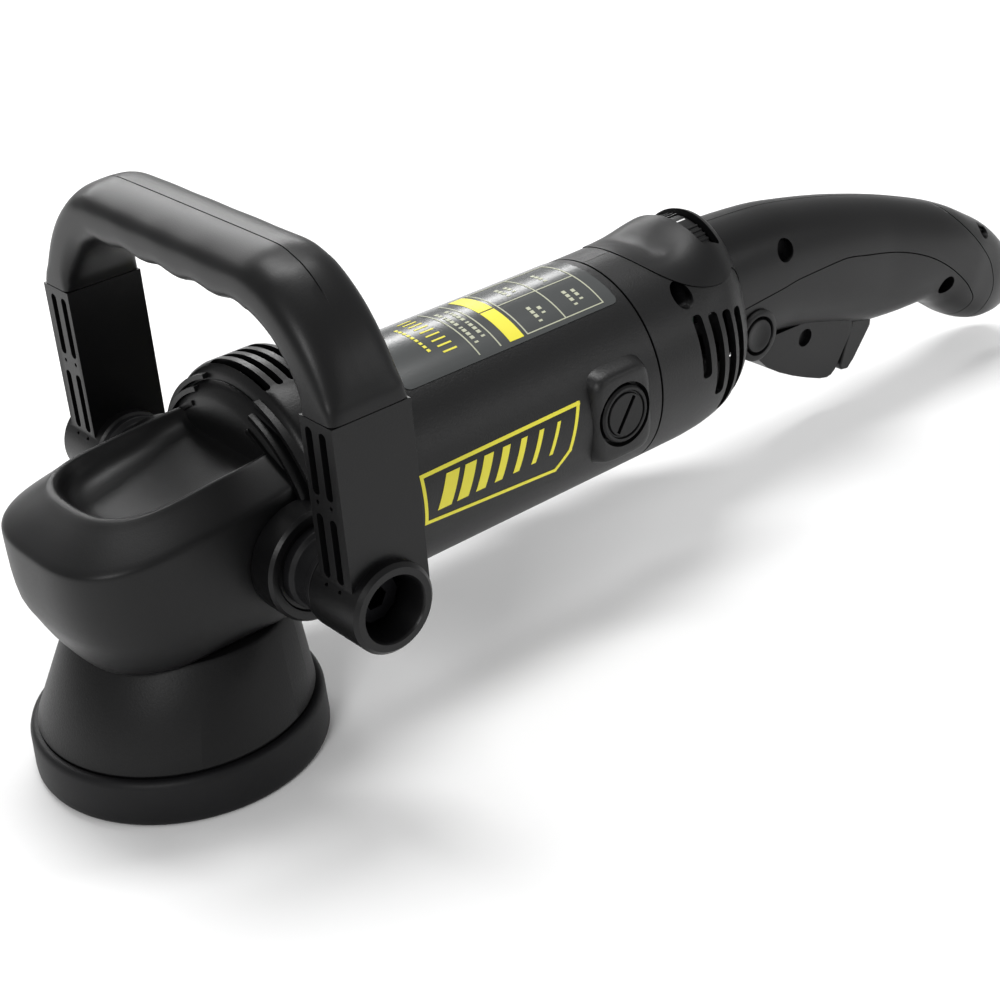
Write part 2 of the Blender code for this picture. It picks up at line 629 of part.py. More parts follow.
def make_armature():
    """Shaft, core, winding, commutator, fan and both bearings, all about the motor axis."""
    at = (0.0, MOTOR_Z)
    pivot = (0.0, 0.0, MOTOR_Z)
    tip = SHAFT_R - 1.0
    bore = SHAFT_R + GAP
    x0, x1 = CORE_X
    web = MOTOR_END - 8.2
    profile = [(0.0, PINION_X[0] - 2), (tip, PINION_X[0] - 2), (tip, PINION_X[1] + 1.6),
               (SHAFT_R, PINION_X[1] + 1.6), (SHAFT_R, web - 1), (tip, web - 1),
               (tip, web + 9), (0.0, web + 9)]
    piece("armature_shaft", turned(profile, "X", at, LOW), STEEL, 0.25, 1.0, origin=pivot)

    def lamination(high):
        r = CORE_R if high else CORE_R - 1.6
        return [(SHAFT_R + 3.3, x0), (r, x0), (r, x1), (SHAFT_R + 3.3, x1)]

    piece("armature_core", toothed(12, lamination, "X", at), STEEL, 0.55, 1.0, origin=pivot)
    spool = [(bore, x0 - 7), (15.0, x0 - 7), (17.0, x0 - 4), (17.0, x0 - GAP),
             (SHAFT_R + 3.0, x0 - GAP), (SHAFT_R + 3.0, x1 + GAP), (17.0, x1 + GAP),
             (17.0, x1 + 5), (15.0, x1 + 8), (bore, x1 + 8)]
    piece("armature_winding", turned(spool, "X", at, MID), COPPER, 0.4, 0.8, origin=pivot)
    piece("commutator", tube(bore, COMMUTATOR_R, BRUSH_X - 9, BRUSH_X + 9, "X", at, MID), COPPER,
          0.3, 1.0, origin=pivot)
    f0, f1 = FAN_X
    fan = piece("cooling_fan", turned([(bore, f0), (11.0, f0), (13.0, f1 - 2), (FAN_R, f1 - 2),
                                       (FAN_R, f1), (bore, f1)], "X", at, MID), CARBON, 0.5,
                origin=pivot)
    for k in range(10):
        a = 2 * math.pi * k / 10
        ends = []
        for r, lift in ((11.5, 0.0), (FAN_R - 1, 0.18)):
            for w in (-1.0, 1.0):
                b = a + lift
                ends.append((r * math.cos(b) - w * math.sin(b),
                             MOTOR_Z + r * math.sin(b) + w * math.cos(b)))
        outline = [ends[0], ends[1], ends[3], ends[2]]
        add(fan, prism(outline, f0 + 0.5, f1 - 1, "X"), f"blade_{k}")
    piece("armature_bearing_front", tube(bore, 13.0, 31.0, 39.0, "X", at, MID), STEEL, 0.3, 1.0)
    piece("armature_bearing_rear", tube(tip + GAP, 11.0, web + 2.1, web + 9.1, "X", at, MID),
          STEEL, 0.3, 1.0)


def make_brushes():
    """Brush gear on each side: holder, carbon, spring and screwed cap."""
    for side, s in SIDES:
        def span(a, b):
            return sorted((s * a, s * b))

        lo, hi = span(COMMUTATOR_R + 1.8, 33.2)
        x, z = BRUSH_X, MOTOR_Z
        holder = piece(f"brush_holder_{side}", box((x - 5, lo, z - 4), (x + 5, hi, z + 4)),
                       BRASS, 0.35, 1.0)
        cut(holder, box((x - 4, lo - 1, z - 3), (x + 4, hi + 1, z + 3)), "slot")
        lo, hi = span(COMMUTATOR_R + GAP, 25.0)
        piece(f"carbon_brush_{side}", box((x - 3.7, lo, z - 2.7), (x + 3.7, hi, z + 2.7)),
              CARBON, 0.7)
        lo, hi = span(25.3, 33.2)
        piece(f"brush_spring_{side}", coil("Y", (x, z), lo, hi, 1.9, 0.35, 5), STEEL, 0.3, 1.0)
        face = BRUSH_FACE
        profile = [(0.0, s * 33.5), (8.0, s * 33.5), (8.0, s * (face - 2.5)),
                   (BRUSH_CAP_R, s * (face - 2.5)), (BRUSH_CAP_R, s * (face - 0.4)),
                   (BRUSH_CAP_R - 0.6, s * face), (0.0, s * face)]
        cap = piece(f"brush_cap_{side}", turned(profile, "Y", (x, z), MID), BLACK, 0.4)
        lo, hi = span(face - 1.4, face + 1)
        slot = [(x - 4.2, z - 5.2), (x - 3.0, z - 5.9), (x + 4.2, z + 5.2), (x + 3.0, z + 5.9)]
        cut(cap, prism(slot, lo, hi), "slot")


# ---------------------------------------------------------------- bail handle
def grip_outline(rise):
    """Arch of the grip in the YZ plane, from one leg to the other and back under."""
    top = GRIP_TOP
    drop = LEG_TOP + GAP / 2
    outer = [(LEG_OUT, drop), (LEG_OUT - 1.5, top - 29), (LEG_OUT - 6.1, top - 20.2 + rise * 0.4),
             (LEG_OUT - 14.6, top - 9.7 + rise * 0.7), (LEG_OUT - 26.9, top - 1.8 + rise),
             (LEG_OUT - 36.6, top + rise)]
    inner = [(LEG_IN, drop), (LEG_IN - 3.1, GRIP_OPEN - 15.6), (LEG_IN - 7.9, GRIP_OPEN - 9.6),
             (LEG_IN - 14.9, GRIP_OPEN - 3.9), (LEG_IN - 23.5, GRIP_OPEN)]
    path = outer + [(-y, z) for y, z in reversed(outer)]
    path += [(-y, z) for y, z in inner] + list(reversed(inner))
    return path


def make_bail():
    """Grip, slotted legs, spacers and bolts; the bail tilts about its two bolts."""
    pivot = (HUB[0], 0.0, HUB[1])
    x0, x1 = LEG_X
    middle = (x0 + x1) / 2
    rings = []
    for x, rise in ((x0, 0.0), (x0 + 3.5, 2.2), (middle, GRIP_CROWN), (x1 - 3.5, 3.0), (x1, 1.0)):
        rings.append([Vector((x, y, z)) for y, z in grip_outline(rise)])
    piece("bail_grip", faces_from_rings(rings), SOFT, 0.5, origin=pivot)
    for side, s in SIDES:
        def span(a, b):
            return sorted((s * a, s * b))

        lo, hi = span(LEG_IN, LEG_OUT)
        leg = piece(f"bail_leg_{side}", box((x0, lo, HUB[1]), (x1, hi, LEG_TOP - GAP / 2)),
                    BLACK, 0.5, origin=pivot)
        lo, hi = span(60.0, HUB_FACE)
        add(leg, rod(HUB_R, lo, hi, "Y", HUB, MID), "hub")
        lo, hi = span(66.0, HUB_FACE + 1)
        cut(leg, rod(HUB_BORE, lo, hi, "Y", HUB, MID), "well")
        lo, hi = span(58.0, 67.0)
        cut(leg, rod(BOLT_R + GAP, lo, hi, "Y", HUB, LOW), "hole")
        for row, (z0, z1) in enumerate(((79.0, 99.7), (106.4, 127.2))):
            for col, y in enumerate((LEG_IN + 3.7, LEG_OUT - 5.2)):
                slot = rounded(s * y - 1.5, s * y + 1.5, z0, z1, 1.4, 3)
                cut(leg, prism(slot, x0 - 1, x0 + 5, "X"), f"slot_{row}{col}")
        lo, hi = span(BOSS_FACE + GAP, 60.0 - GAP)
        spacer = piece(f"bail_spacer_{side}", rod(HUB_R - 0.6, lo, hi, "Y", HUB, 10), BLACK, 0.5)
        cut(spacer, rod(BOLT_R + GAP, lo - 1, hi + 1, "Y", HUB, LOW), "hole")
        seat = 66.0 + GAP
        profile = [(0.0, s * 38.0), (BOLT_R, s * 38.0), (BOLT_R, s * seat),
                   (BOLT_HEAD_R, s * seat), (BOLT_HEAD_R, s * (seat + 7)),
                   (0.0, s * (seat + 7))]
        bolt = piece(f"bail_bolt_{side}", turned(profile, "Y", HUB, LOW), CARBON, 0.4, 1.0)
        lo, hi = span(seat + 3, seat + 8)
        cut(bolt, rod(4.0, lo, hi, "Y", HUB, 6), "socket")


# ---------------------------------------------------------------- rear cover and dial
def rear_rings(inset, start, end):
    """Rear cover's sections, from the motor seam to the mouth that meets the handle."""
    x0, length = MOTOR_END + GAP, REAR_END - MOTOR_END - GAP
    rows = [(0.0, 0.0, 0.0, 0.0), (0.32, 0.0, 0.0, 0.0), (0.5, -0.3, 1.0, -0.5),
            (0.7, -1.8, 4.0, -2.6), (0.87, -6.5, 3.5, -8.5), (1.0, -14.0, -1.5, -17.0)]
    rings = []
    for f, a, b, c in rows:
        x = x0 + length * f
        x = start if f == 0.0 else end if f == 1.0 else x
        rings.append(body_ring(x, MOTOR_R + a - inset, MOTOR_R + b - inset, MOTOR_R + c - inset,
                               2.0, 28))
    return rings


def merged(parts):
    """One cutter that holds several separate solids."""
    bm = bmesh.new()
    for part in parts:
        mesh = bpy.data.meshes.new("merged")
        part.to_mesh(mesh)
        part.free()
        bm.from_mesh(mesh)
        bpy.data.meshes.remove(mesh)
    return bm


def half_space(s, reach=70.0, x0=150.0, x1=450.0):
    """Block that holds one side of the middle plane, less half a gap."""
    lo, hi = sorted((s * GAP / 2, s * reach))
    return box((x0, lo, -5.0), (x1, hi, 150.0))


def screw_post(item, x, z, wall):
    """Moulded post for a cross screw, made before the halves are parted."""
    add(item, rod(SCREW_HEAD_R + 2.4, -wall, wall, "Y", (x, z), 12), f"post_{round(x)}")


def screw_hole(item, s, x, z, head):
    """Deep seat for the screw's head on the left half, pilot hole on the right."""
    if s < 0:
        cut(item, rod(SCREW_HEAD_R + GAP, -60.0, -head, "Y", (x, z), 12), f"seat_{round(x)}")
        cut(item, rod(SCREW_R + GAP, -head - 1, 1.0, "Y", (x, z), 12), f"hole_{round(x)}")
    else:
        cut(item, rod(SCREW_R + GAP, -1.0, 10.0, "Y", (x, z), 12), f"hole_{round(x)}")


def cross_screw(name, x, z, head):
    """Screw that pulls the two halves together."""
    profile = [(0.0, -head - 3.0), (SCREW_HEAD_R, -head - 3.0), (SCREW_HEAD_R, -head - GAP),
               (SCREW_R, -head - GAP), (SCREW_R, 9.0), (0.0, 9.0)]
    item = piece(name, turned(profile, "Y", (x, z), 12), STEEL, 0.35, 1.0)
    cut(item, box((x - 2.2, -head - 4, z - 0.5), (x + 2.2, -head - 1.8, z + 0.5)), "slot")


COVER_SCREW = (203.0, MOTOR_Z + MOTOR_R - 11.6, 12.0)
HANDLE_SCREW = (266.6, 88.1, 10.0)


def make_rear_cover():
    """Two vented cover halves, the soft saddle on top, the speed dial and its module."""
    x0 = MOTOR_END + GAP
    sx, sz, sr = SADDLE
    outer = rear_rings(0.0, x0, REAR_END)
    hollow = rear_rings(WALL, x0 - 2, REAR_END + 2)
    for side, s in SIDES:
        cover = piece(f"rear_cover_{side}", faces_from_rings(outer), BLACK, 0.5)
        cut(cover, faces_from_rings(hollow), "hollow")
        x, z, head = COVER_SCREW
        screw_post(cover, x, z, 19.0)
        keep(cover, half_space(s), "half")
        screw_hole(cover, s, x, z, head)
        cut(cover, rod(sr + GAP, -60.0, 60.0, "Y", (sx, sz), 32), "saddle")
        vents = ((204.3, 2.4), (211.5, 11.8), (218.2, 22.2), (224.6, 23.9))
        slots = []
        for k, (x, drop) in enumerate(vents):
            z0 = MOTOR_Z - drop * MOTOR_R / 38
            z1 = MOTOR_Z + MOTOR_R - 18 - 1.2 * k
            lo, hi = sorted((s * 9.3, s * 52.0))
            slot = rounded(x - 2.1, x + 2.1, z0, z1, 1.2, 2)
            slots.append(prism(slot, lo, hi))
        cut(cover, merged(slots), "vents")
    saddle = piece("dial_saddle", faces_from_rings(outer), SOFT, 0.6)
    cut(saddle, faces_from_rings(hollow), "hollow")
    keep(saddle, rod(sr, -60.0, 60.0, "Y", (sx, sz), 32), "region")
    half = DIAL_W / 2 + 0.7
    top = MOTOR_Z + MOTOR_R
    cut(saddle, box((DIAL_X - half, -18.5, top - 15.5), (DIAL_X + half, 18.5, top + 14.5)), "slot")
    at = (0.0, DIAL_Z)
    shaft = 3.0

    def ribbed(high):
        r = DIAL_R if high else DIAL_R - 0.7
        lo, hi = DIAL_X - DIAL_W / 2, DIAL_X + DIAL_W / 2
        return [(shaft + GAP, lo), (r, lo), (r, hi), (shaft + GAP, hi)]

    piece("speed_dial", toothed(18, ribbed, "X", at), CARBON, 0.5,
          origin=(DIAL_X, 0.0, DIAL_Z))
    face = DIAL_X - DIAL_W / 2 - 1.0
    module = piece("speed_module", box((face - 8, -13.0, DIAL_Z - 17), (face, 13.0, DIAL_Z + 4)),
                   GREEN, 0.5)
    add(module, rod(shaft, face - 1, DIAL_X + DIAL_W / 2 + 0.5, "X", at, 16), "shaft")
    cross_screw("cover_screw", *COVER_SCREW)


# ---------------------------------------------------------------- tail handle
HANDLE = (   # top X, top Z, underside X, underside Z, half width
    (238.3, 102.5, 238.3, 48.0, 0.0), (250.0, 102.0, 250.0, 50.0, -0.5),
    (270.0, 100.5, 266.0, 50.0, -1.0), (290.0, 97.0, 284.0, 47.0, -1.5),
    (310.0, 92.5, 301.0, 42.0, -2.0), (323.0, 89.0, 315.0, 38.0, -2.5),
    (338.0, 84.5, 328.0, 35.0, -3.0), (354.0, 79.0, 344.0, 33.5, -3.0),
    (368.0, 73.7, 357.0, 33.0, -3.0), (380.0, 68.3, 366.0, 30.0, -3.0),
    (391.0, 62.0, 374.0, 24.5, -3.0), (400.0, 56.5, 382.0, 19.0, -3.5),
    (408.5, 49.5, 390.0, 15.0, -4.0), (415.0, 42.0, 398.0, 12.6, -5.5),
    (419.5, 34.0, 406.0, 12.0, -8.0), (421.5, 27.0, 412.5, 13.0, -11.5),
    (421.8, 22.5, 417.0, 15.8, -16.0))
SEAM = ((236.0, 73.0), (263.0, 74.3), (274.0, 75.1), (297.0, 74.7), (314.5, 71.2),
        (333.0, 66.3), (351.5, 58.6), (368.0, 47.6), (380.0, 35.8), (384.6, 28.0),
        (382.0, 21.0), (376.0, 8.0))
CAP_SEAM = ((362.0, 84.0), (371.0, 71.3), (386.6, 53.1), (394.3, 40.9), (396.4, 31.2),
            (393.5, 21.0), (388.0, 8.0))


def along(x):
    """Handle station, stretched to the length that TAIL_END gives."""
    return REAR_END + (x - REAR_END) * (TAIL_END - REAR_END) / (DRAWN_END - REAR_END)


def placed(points):
    """Points of the handle's side view at the stretched stations."""
    return [(along(x), z) for x, z in points]


def handle_rings(inset, rows=None, power=2.4, count=16):
    """Handle sections, each square to the arched line of the handle."""
    rings = []
    for tx, tz, bx, bz, w in (rows or HANDLE):
        top, low = Vector((along(tx), 0, tz)), Vector((along(bx), 0, bz))
        centre, up = (top + low) / 2, (top - low) / 2
        up = up * ((up.length - inset) / up.length)
        half = HANDLE_HALF + w - inset
        ring = []
        for i in range(count):
            t = 2 * math.pi * i / count
            y = half * signed_power(math.cos(t), 2 / power)
            ring.append(centre + up * signed_power(math.sin(t), 2 / power) + Vector((0, y, 0)))
        rings.append(ring)
    return rings


def shifted_line(points, distance):
    """Polyline moved sideways, towards its left for a positive distance."""
    out = []
    for i, p in enumerate(points):
        a = Vector(points[max(i - 1, 0)])
        b = Vector(points[min(i + 1, len(points) - 1)])
        d = (b - a).normalized()
        out.append((p[0] - d.y * distance, p[1] + d.x * distance))
    return out


def handle_hollow():
    """Inner space, open to the rear cover and closed before the tail."""
    rows = list(HANDLE[:14])
    rows[0] = (236.0, rows[0][1], 236.0, rows[0][3], rows[0][4])
    return faces_from_rings(handle_rings(GRIP_WALL, rows))


def make_handle_shells():
    """Lower halves with the trigger guard, upper grip halves, and the one-piece end cap."""
    below = shifted_line(placed(SEAM), -GAP / 2)
    above = shifted_line(placed(SEAM), GAP / 2)
    before_cap = shifted_line(placed(CAP_SEAM), -GAP / 2)
    after_cap = shifted_line(placed(CAP_SEAM), GAP / 2)
    guard = [(258.5, 54.0), (262.0, 41.0), (271.5, 35.0), (280.0, 29.5), (289.0, 25.2),
             (297.0, 21.8), (303.0, 20.6), (306.0, 22.5), (313.5, 38.0), (312.0, 50.0)]
    clear = TRIGGER_HALF + 0.8
    pivot = placed([TRIGGER_AT])[0]
    lock = placed([LOCK_DRAWN])[0]
    rib = along(RIB_X)
    slot = [(308.5, 30.0), (306.0, 14.0), (320.0, 14.0), (338.0, 32.0), (338.0, 53.0),
            (308.5, 53.0)]
    for side, s in SIDES:
        lo, hi = sorted((s * GAP / 2, s * 60.0))
        lower = piece(f"handle_lower_{side}", faces_from_rings(handle_rings(0.0)), BLACK, 0.5)
        add(lower, prism(placed(guard), -NOSE_HALF, NOSE_HALF), "guard")
        if s < 0:
            add(lower, rod(LOCK_R + 3.0, -20.8, -12.0, "Y", lock, MID), "lock_boss")
        cut(lower, handle_hollow(), "hollow")
        add(lower, box((rib, -13.5, 37.0), (rib + 2.5, 13.5, 56.0)), "rib")
        add(lower, rod(3.6, -16.3, 16.3, "Y", pivot, 12), "pin_boss")
        region = list(below) + [(230.0, 8.0), (230.0, below[0][1])]
        keep(lower, prism(region, lo, hi), "region")
        cut(lower, prism(placed(slot), -clear, clear), "slot")
        blo, bhi = sorted((s * 5.0, s * 12.5))
        cut(lower, rod(PIN_R + GAP, blo, bhi, "Y", pivot, 12), "pin_hole")
        if s < 0:
            cut(lower, rod(LOCK_R + GAP, -26.0, -9.0, "Y", lock, MID), "lock_hole")
        grip = piece(f"grip_{side}", faces_from_rings(handle_rings(0.0)), SOFT, 0.6)
        cut(grip, handle_hollow(), "hollow")
        screw_post(grip, along(HANDLE_SCREW[0]), HANDLE_SCREW[1], 17.0)
        region = list(above) + list(reversed(before_cap)) + [(230.0, 120.0),
                                                             (230.0, above[0][1])]
        keep(grip, prism(region, lo, hi), "region")
        screw_hole(grip, s, along(HANDLE_SCREW[0]), *HANDLE_SCREW[1:])
    cap = piece("end_cap", faces_from_rings(handle_rings(0.0)), BLACK, 0.5)
    cut(cap, handle_hollow(), "hollow")
    far = TAIL_END + 20.0
    region = list(after_cap) + [(far, 8.0), (far, 84.0)]
    keep(cap, prism(region, -60.0, 60.0), "region")
    inlet = (along(GLAND_X), 0.0)
    cut(cap, rod(GLAND_R + GAP, 5.0, 34.0, "Z", inlet, LOW), "gland_hole")
    piece("cord_gland", tube(CORD_R, GLAND_R, 13.2, 27.0, "Z", inlet, LOW), SOFT, 0.7)
    cross_screw("handle_screw", along(HANDLE_SCREW[0]), *HANDLE_SCREW[1:])


def make_switch():
    """Switch, trigger with its pin and spring, and the lock-on button with its spring."""
    (x0, x1), half, (z0, z1) = SWITCH
    piece("switch_body", box((along(x0), -half, z0), (along(x1), half, z1)), CARBON, 0.5)
    px, pz = placed([TRIGGER_AT])[0]
    outline = [(-8.3, -6.0), (-14.5, -20.5), (-13.2, -23.0), (-9.8, -23.7), (3.7, -9.0),
               (5.0, 0.0), (4.0, 11.0), (-4.0, 11.0), (-6.0, 3.0)]
    shape = prism([(px + a, pz + b) for a, b in outline], -TRIGGER_HALF, TRIGGER_HALF)
    trigger = piece("trigger", shape, BLACK, 0.5, origin=(px, 0.0, pz))
    cut(trigger, rod(PIN_R + GAP, -10.0, 10.0, "Y", (px, pz), 12), "hole")
    piece("trigger_pin", rod(PIN_R, -12.0, 12.0, "Y", (px, pz), 12), STEEL, 0.3, 1.0)
    piece("trigger_spring", coil("X", (0.0, pz + 8), px + 6.5, along(RIB_X) - GAP, 2.2, 0.35, 5), STEEL, 0.3,
          1.0)
    lx, lz = placed([LOCK_DRAWN])[0]
    profile = [(0.0, -LOCK_FACE), (LOCK_R - 0.6, -LOCK_FACE), (LOCK_R, -LOCK_FACE + 0.6),
               (LOCK_R, -LOCK_FACE + 7.0), (0.0, -LOCK_FACE + 7.0)]
    piece("lock_button", turned(profile, "Y", (lx, lz), MID), BLACK, 0.4,
          origin=(lx, -LOCK_FACE, lz))
    piece("lock_spring", coil("Y", (lx, lz), -LOCK_FACE + 7.3, -half - GAP, 3.0, 0.35, 3), STEEL,
          0.3, 1.0)


def main():
    """Build every sub-part."""
    clear_scene()
    make_shroud()
    make_output()
    make_case()
    make_gears()
    make_head_cover()
    make_nose()
    make_motor_housing()
    make_stator()
    make_armature()
    make_brushes()
    make_bail()
    make_rear_cover()
    make_handle_shells()
    make_switch()


main()
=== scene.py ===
"""Looks of a dual-action polisher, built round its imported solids.

Lengths are in millimetres in the spindle frame: X runs from the spindle's axis to the tail, Z is up
from the plane the rubber ring rests on. They become metres in the row frame when a piece is made.
"""

import json
import logging
import math
from dataclasses import dataclass, field
from enum import Enum
from typing import Callable, Iterable, Sequence

import bmesh
import bpy
import numpy as np
from mathutils import Matrix, Vector


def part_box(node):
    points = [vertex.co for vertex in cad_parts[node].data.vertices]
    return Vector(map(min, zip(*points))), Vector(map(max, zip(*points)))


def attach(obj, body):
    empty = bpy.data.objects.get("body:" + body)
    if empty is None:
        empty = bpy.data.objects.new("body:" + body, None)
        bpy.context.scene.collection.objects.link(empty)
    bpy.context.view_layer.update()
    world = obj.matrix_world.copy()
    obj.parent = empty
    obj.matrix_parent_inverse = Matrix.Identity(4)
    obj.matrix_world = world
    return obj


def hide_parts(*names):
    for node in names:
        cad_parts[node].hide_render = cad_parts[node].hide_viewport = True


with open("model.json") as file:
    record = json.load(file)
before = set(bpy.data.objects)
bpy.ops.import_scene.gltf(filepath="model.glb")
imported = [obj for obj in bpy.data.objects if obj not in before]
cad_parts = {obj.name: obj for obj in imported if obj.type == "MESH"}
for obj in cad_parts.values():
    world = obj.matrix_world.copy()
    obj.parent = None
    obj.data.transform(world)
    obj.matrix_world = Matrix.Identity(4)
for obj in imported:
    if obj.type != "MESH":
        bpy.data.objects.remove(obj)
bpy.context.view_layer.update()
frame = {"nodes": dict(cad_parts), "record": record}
LOG = logging.getLogger("polisher")

Pair = tuple[float, float]
Section = Callable[[float], Vector]


# ---------------------------------------------------------------- frame
def spindle_station() -> float:
    """Station of the spindle's axis in the row frame, in millimetres."""
    low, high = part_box("shroud_bumper")
    return (low[0] + high[0]) * 500.0


SPINDLE_X = spindle_station()
TO_ROW = Matrix.Scale(0.001, 4) @ Matrix.Translation((SPINDLE_X, 0.0, 0.0))
MOTOR_Z = 67.5
HUB = (30.6, 69.6)
SIDES = (("left", -1.0), ("right", 1.0))


class Join(Enum):
    """What a tool does to the piece it meets."""

    CUT = "DIFFERENCE"
    ADD = "UNION"
    KEEP = "INTERSECT"


class Axis(Enum):
    """Axis that a shape is turned or pushed along."""

    X = 0
    Y = 1
    Z = 2


# ---------------------------------------------------------------- materials
def linear(code: str) -> tuple[float, float, float, float]:
    """Linear colour of an sRGB hex code.

    Args:
        code: six hex digits.
    Returns:
        Red, green, blue and alpha.
    """
    parts = [int(code[i:i + 2], 16) / 255 for i in (0, 2, 4)]
    red, green, blue = [p / 12.92 if p <= 0.04045 else ((p + 0.055) / 1.055) ** 2.4 for p in parts]
    return (red, green, blue, 1.0)


def node(tree: bpy.types.NodeTree, kind: str, settings: dict | None = None,
         links: dict | None = None) -> bpy.types.Node:
    """Add one shader node.

    Args:
        tree: the tree it goes into.
        kind: the node's type name.
        settings: values by socket name, or by attribute name with a leading dot.
        links: output sockets by the name of the input each one feeds.
    Returns:
        The new node.
    """
    made = tree.nodes.new(kind)
    for key, value in (settings or {}).items():
        if key.startswith("."):
            setattr(made, key[1:], value)
        else:
            made.inputs[key].default_value = value
    for key, source in (links or {}).items():
        tree.links.new(source, made.inputs[key])
    return made


TONE_SCALE = 28.0       # size of the slow drift in tone, patches per metre
GRAIN_DEPTH = 0.0003    # depth of the relief in metres, for each millimetre of grain


@dataclass(frozen=True)
class Finish:
    """A surface: what it is made of, its tone and the relief left by the way it was made."""

    name: str
    colour: str
    rough: float
    metal: float = 0.0
    grain: float = 0.8       # size of one grain of the texture, mm
    relief: float = 0.1      # depth of the texture, 0 to 1
    drift: float = 0.12      # how far the tone wanders over the piece
    spread: float = 0.08     # how far the roughness wanders
    level: float = 0.5       # specular level; the black plastics sit below the usual 0.5
    stretch: tuple[float, float, float] = (1.0, 1.0, 1.0)

    def material(self) -> bpy.types.Material:
        """The finish as a node material, made once."""
        known = bpy.data.materials.get(self.name)
        if known:
            return known
        made = bpy.data.materials.new(self.name)
        made.use_nodes = True
        tree = made.node_tree
        shader = next(n for n in tree.nodes if n.type == "BSDF_PRINCIPLED")
        shader.inputs["Metallic"].default_value = self.metal
        shader.inputs["Specular IOR Level"].default_value = self.level
        place = node(tree, "ShaderNodeTexCoord").outputs["Object"]
        spot = node(tree, "ShaderNodeMapping", {"Scale": self.stretch}, {"Vector": place})
        wide = node(tree, "ShaderNodeTexNoise", {"Scale": TONE_SCALE, "Detail": 4.0, "Roughness": 0.6},
                    {"Vector": spot.outputs["Vector"]})
        fine = node(tree, "ShaderNodeTexNoise", {"Scale": 1000.0 / self.grain, "Detail": 3.0,
                                                 "Roughness": 0.65},
                    {"Vector": spot.outputs["Vector"]})
        base = linear(self.colour)
        dark = tuple(c * (1 - self.drift) for c in base[:3]) + (1.0,)
        light = tuple(min(c * (1 + self.drift), 1.0) for c in base[:3]) + (1.0,)
        tone = node(tree, "ShaderNodeMix", {".data_type": "RGBA", "A": dark, "B": light},
                    {"Factor": wide.outputs["Fac"]})
        speck = node(tree, "ShaderNodeMix", {".data_type": "RGBA", ".blend_type": "MULTIPLY",
                                             "Factor": self.relief * 1.5},
                     {"A": tone.outputs["Result"], "B": fine.outputs["Fac"]})
        tree.links.new(speck.outputs["Result"], shader.inputs["Base Color"])
        gloss = node(tree, "ShaderNodeMapRange",
                     {"To Min": self.rough - self.spread, "To Max": self.rough + self.spread},
                     {"Value": fine.outputs["Fac"]})
        tree.links.new(gloss.outputs["Result"], shader.inputs["Roughness"])
        bump = node(tree, "ShaderNodeBump", {"Strength": self.relief * 2.0,
                                             "Distance": GRAIN_DEPTH * self.grain},
                    {"Height": fine.outputs["Fac"]})
        tree.links.new(bump.outputs["Normal"], shader.inputs["Normal"])
        return made


# Glass-filled nylon, spark-eroded mould: fine grain that breaks up the highlight.
NYLON = Finish("grained_nylon", "0b0b0c", 0.4, grain=0.75, relief=0.24, level=0.4)
# The same nylon where the mould was left a little smoother.
NYLON_SATIN = Finish("satin_nylon", "0a0a0b", 0.36, grain=0.6, relief=0.12, level=0.28)
# Shot-blasted nylon of the shroud: wide soft highlight.
NYLON_MATT = Finish("blasted_nylon", "0b0b0c", 0.46, grain=0.7, relief=0.2, level=0.26)
# Moulded thermoplastic rubber: darker in the hollows, no sharp highlight.
SOFT_COVER = Finish("moulded_tpe", "0b0b0c", 0.42, grain=0.5, relief=0.1, level=0.3)
# Rubber of the shroud's ring, dulled by its bloom. The bail's spacers share it.
RING_RUBBER = Finish("bloomed_rubber", "0e0e10", 0.5, grain=0.6, relief=0.12, level=0.24)
# Overmoulded grip rubber, polished by the mould.
GRIP_RUBBER = Finish("satin_tpe", "0b0b0c", 0.38, grain=0.5, relief=0.08, level=0.3)
# Polyester film of the label: smooth and even.
FILM = Finish("label_film", "121416", 0.42, grain=0.4, relief=0.03, drift=0.05, level=0.22)
# Screen-printed inks.
INK_YELLOW = Finish("yellow_ink", "ece23c", 0.45, grain=0.3, relief=0.02, drift=0.03)
INK_PALE = Finish("pale_ink", "b9bba4", 0.5, grain=0.3, relief=0.02, drift=0.03)
INK_WHITE = Finish("white_ink", "e4e4e4", 0.5, grain=0.3, relief=0.02, drift=0.03)
# Acetal of the thumbwheel and the trigger: dark and slightly glossy.
ACETAL = Finish("acetal", "0c0c0d", 0.34, grain=0.5, relief=0.06, level=0.35)
# Blackened steel of the bail bolts.
BLACK_STEEL = Finish("blackened_steel", "1c1c1e", 0.45, 1.0, grain=0.5, relief=0.1)
# Pressure-cast aluminium of the gear case, kept darker than bare metal so that it doesn't shine
# through the collar's slots.
CAST = Finish("cast_aluminium", "4a4b4d", 0.6, 1.0, grain=1.4, relief=0.3)
# Turned steel: fine rings round the axis.
STEEL = Finish("turned_steel", "c2c4c7", 0.28, 1.0, grain=0.5, relief=0.1)
WIRE = Finish("drawn_wire", "a9abaf", 0.3, 1.0, grain=0.3, relief=0.05)
# Varnished steel sheets of the motor's cores, edge on.
SHEETS = Finish("varnished_laminations", "6a625a", 0.5, 0.8, grain=0.5, relief=0.4,
                stretch=(1.0, 0.05, 0.05))
# Enamelled copper wire, wound close.
COPPER = Finish("enamelled_copper", "b4633a", 0.35, 0.9, grain=0.8, relief=0.35,
                stretch=(0.2, 1.0, 1.0))
BRASS = Finish("drawn_brass", "c9a24e", 0.3, 1.0, grain=0.4, relief=0.08)
CARBON = Finish("pressed_carbon", "2a2a2a", 0.65, grain=0.5, relief=0.25)
FAN = Finish("fan_nylon", "55565a", 0.5, grain=0.7, relief=0.12)
BOARD = Finish("potting_resin", "2d5240", 0.35, grain=1.0, relief=0.06)


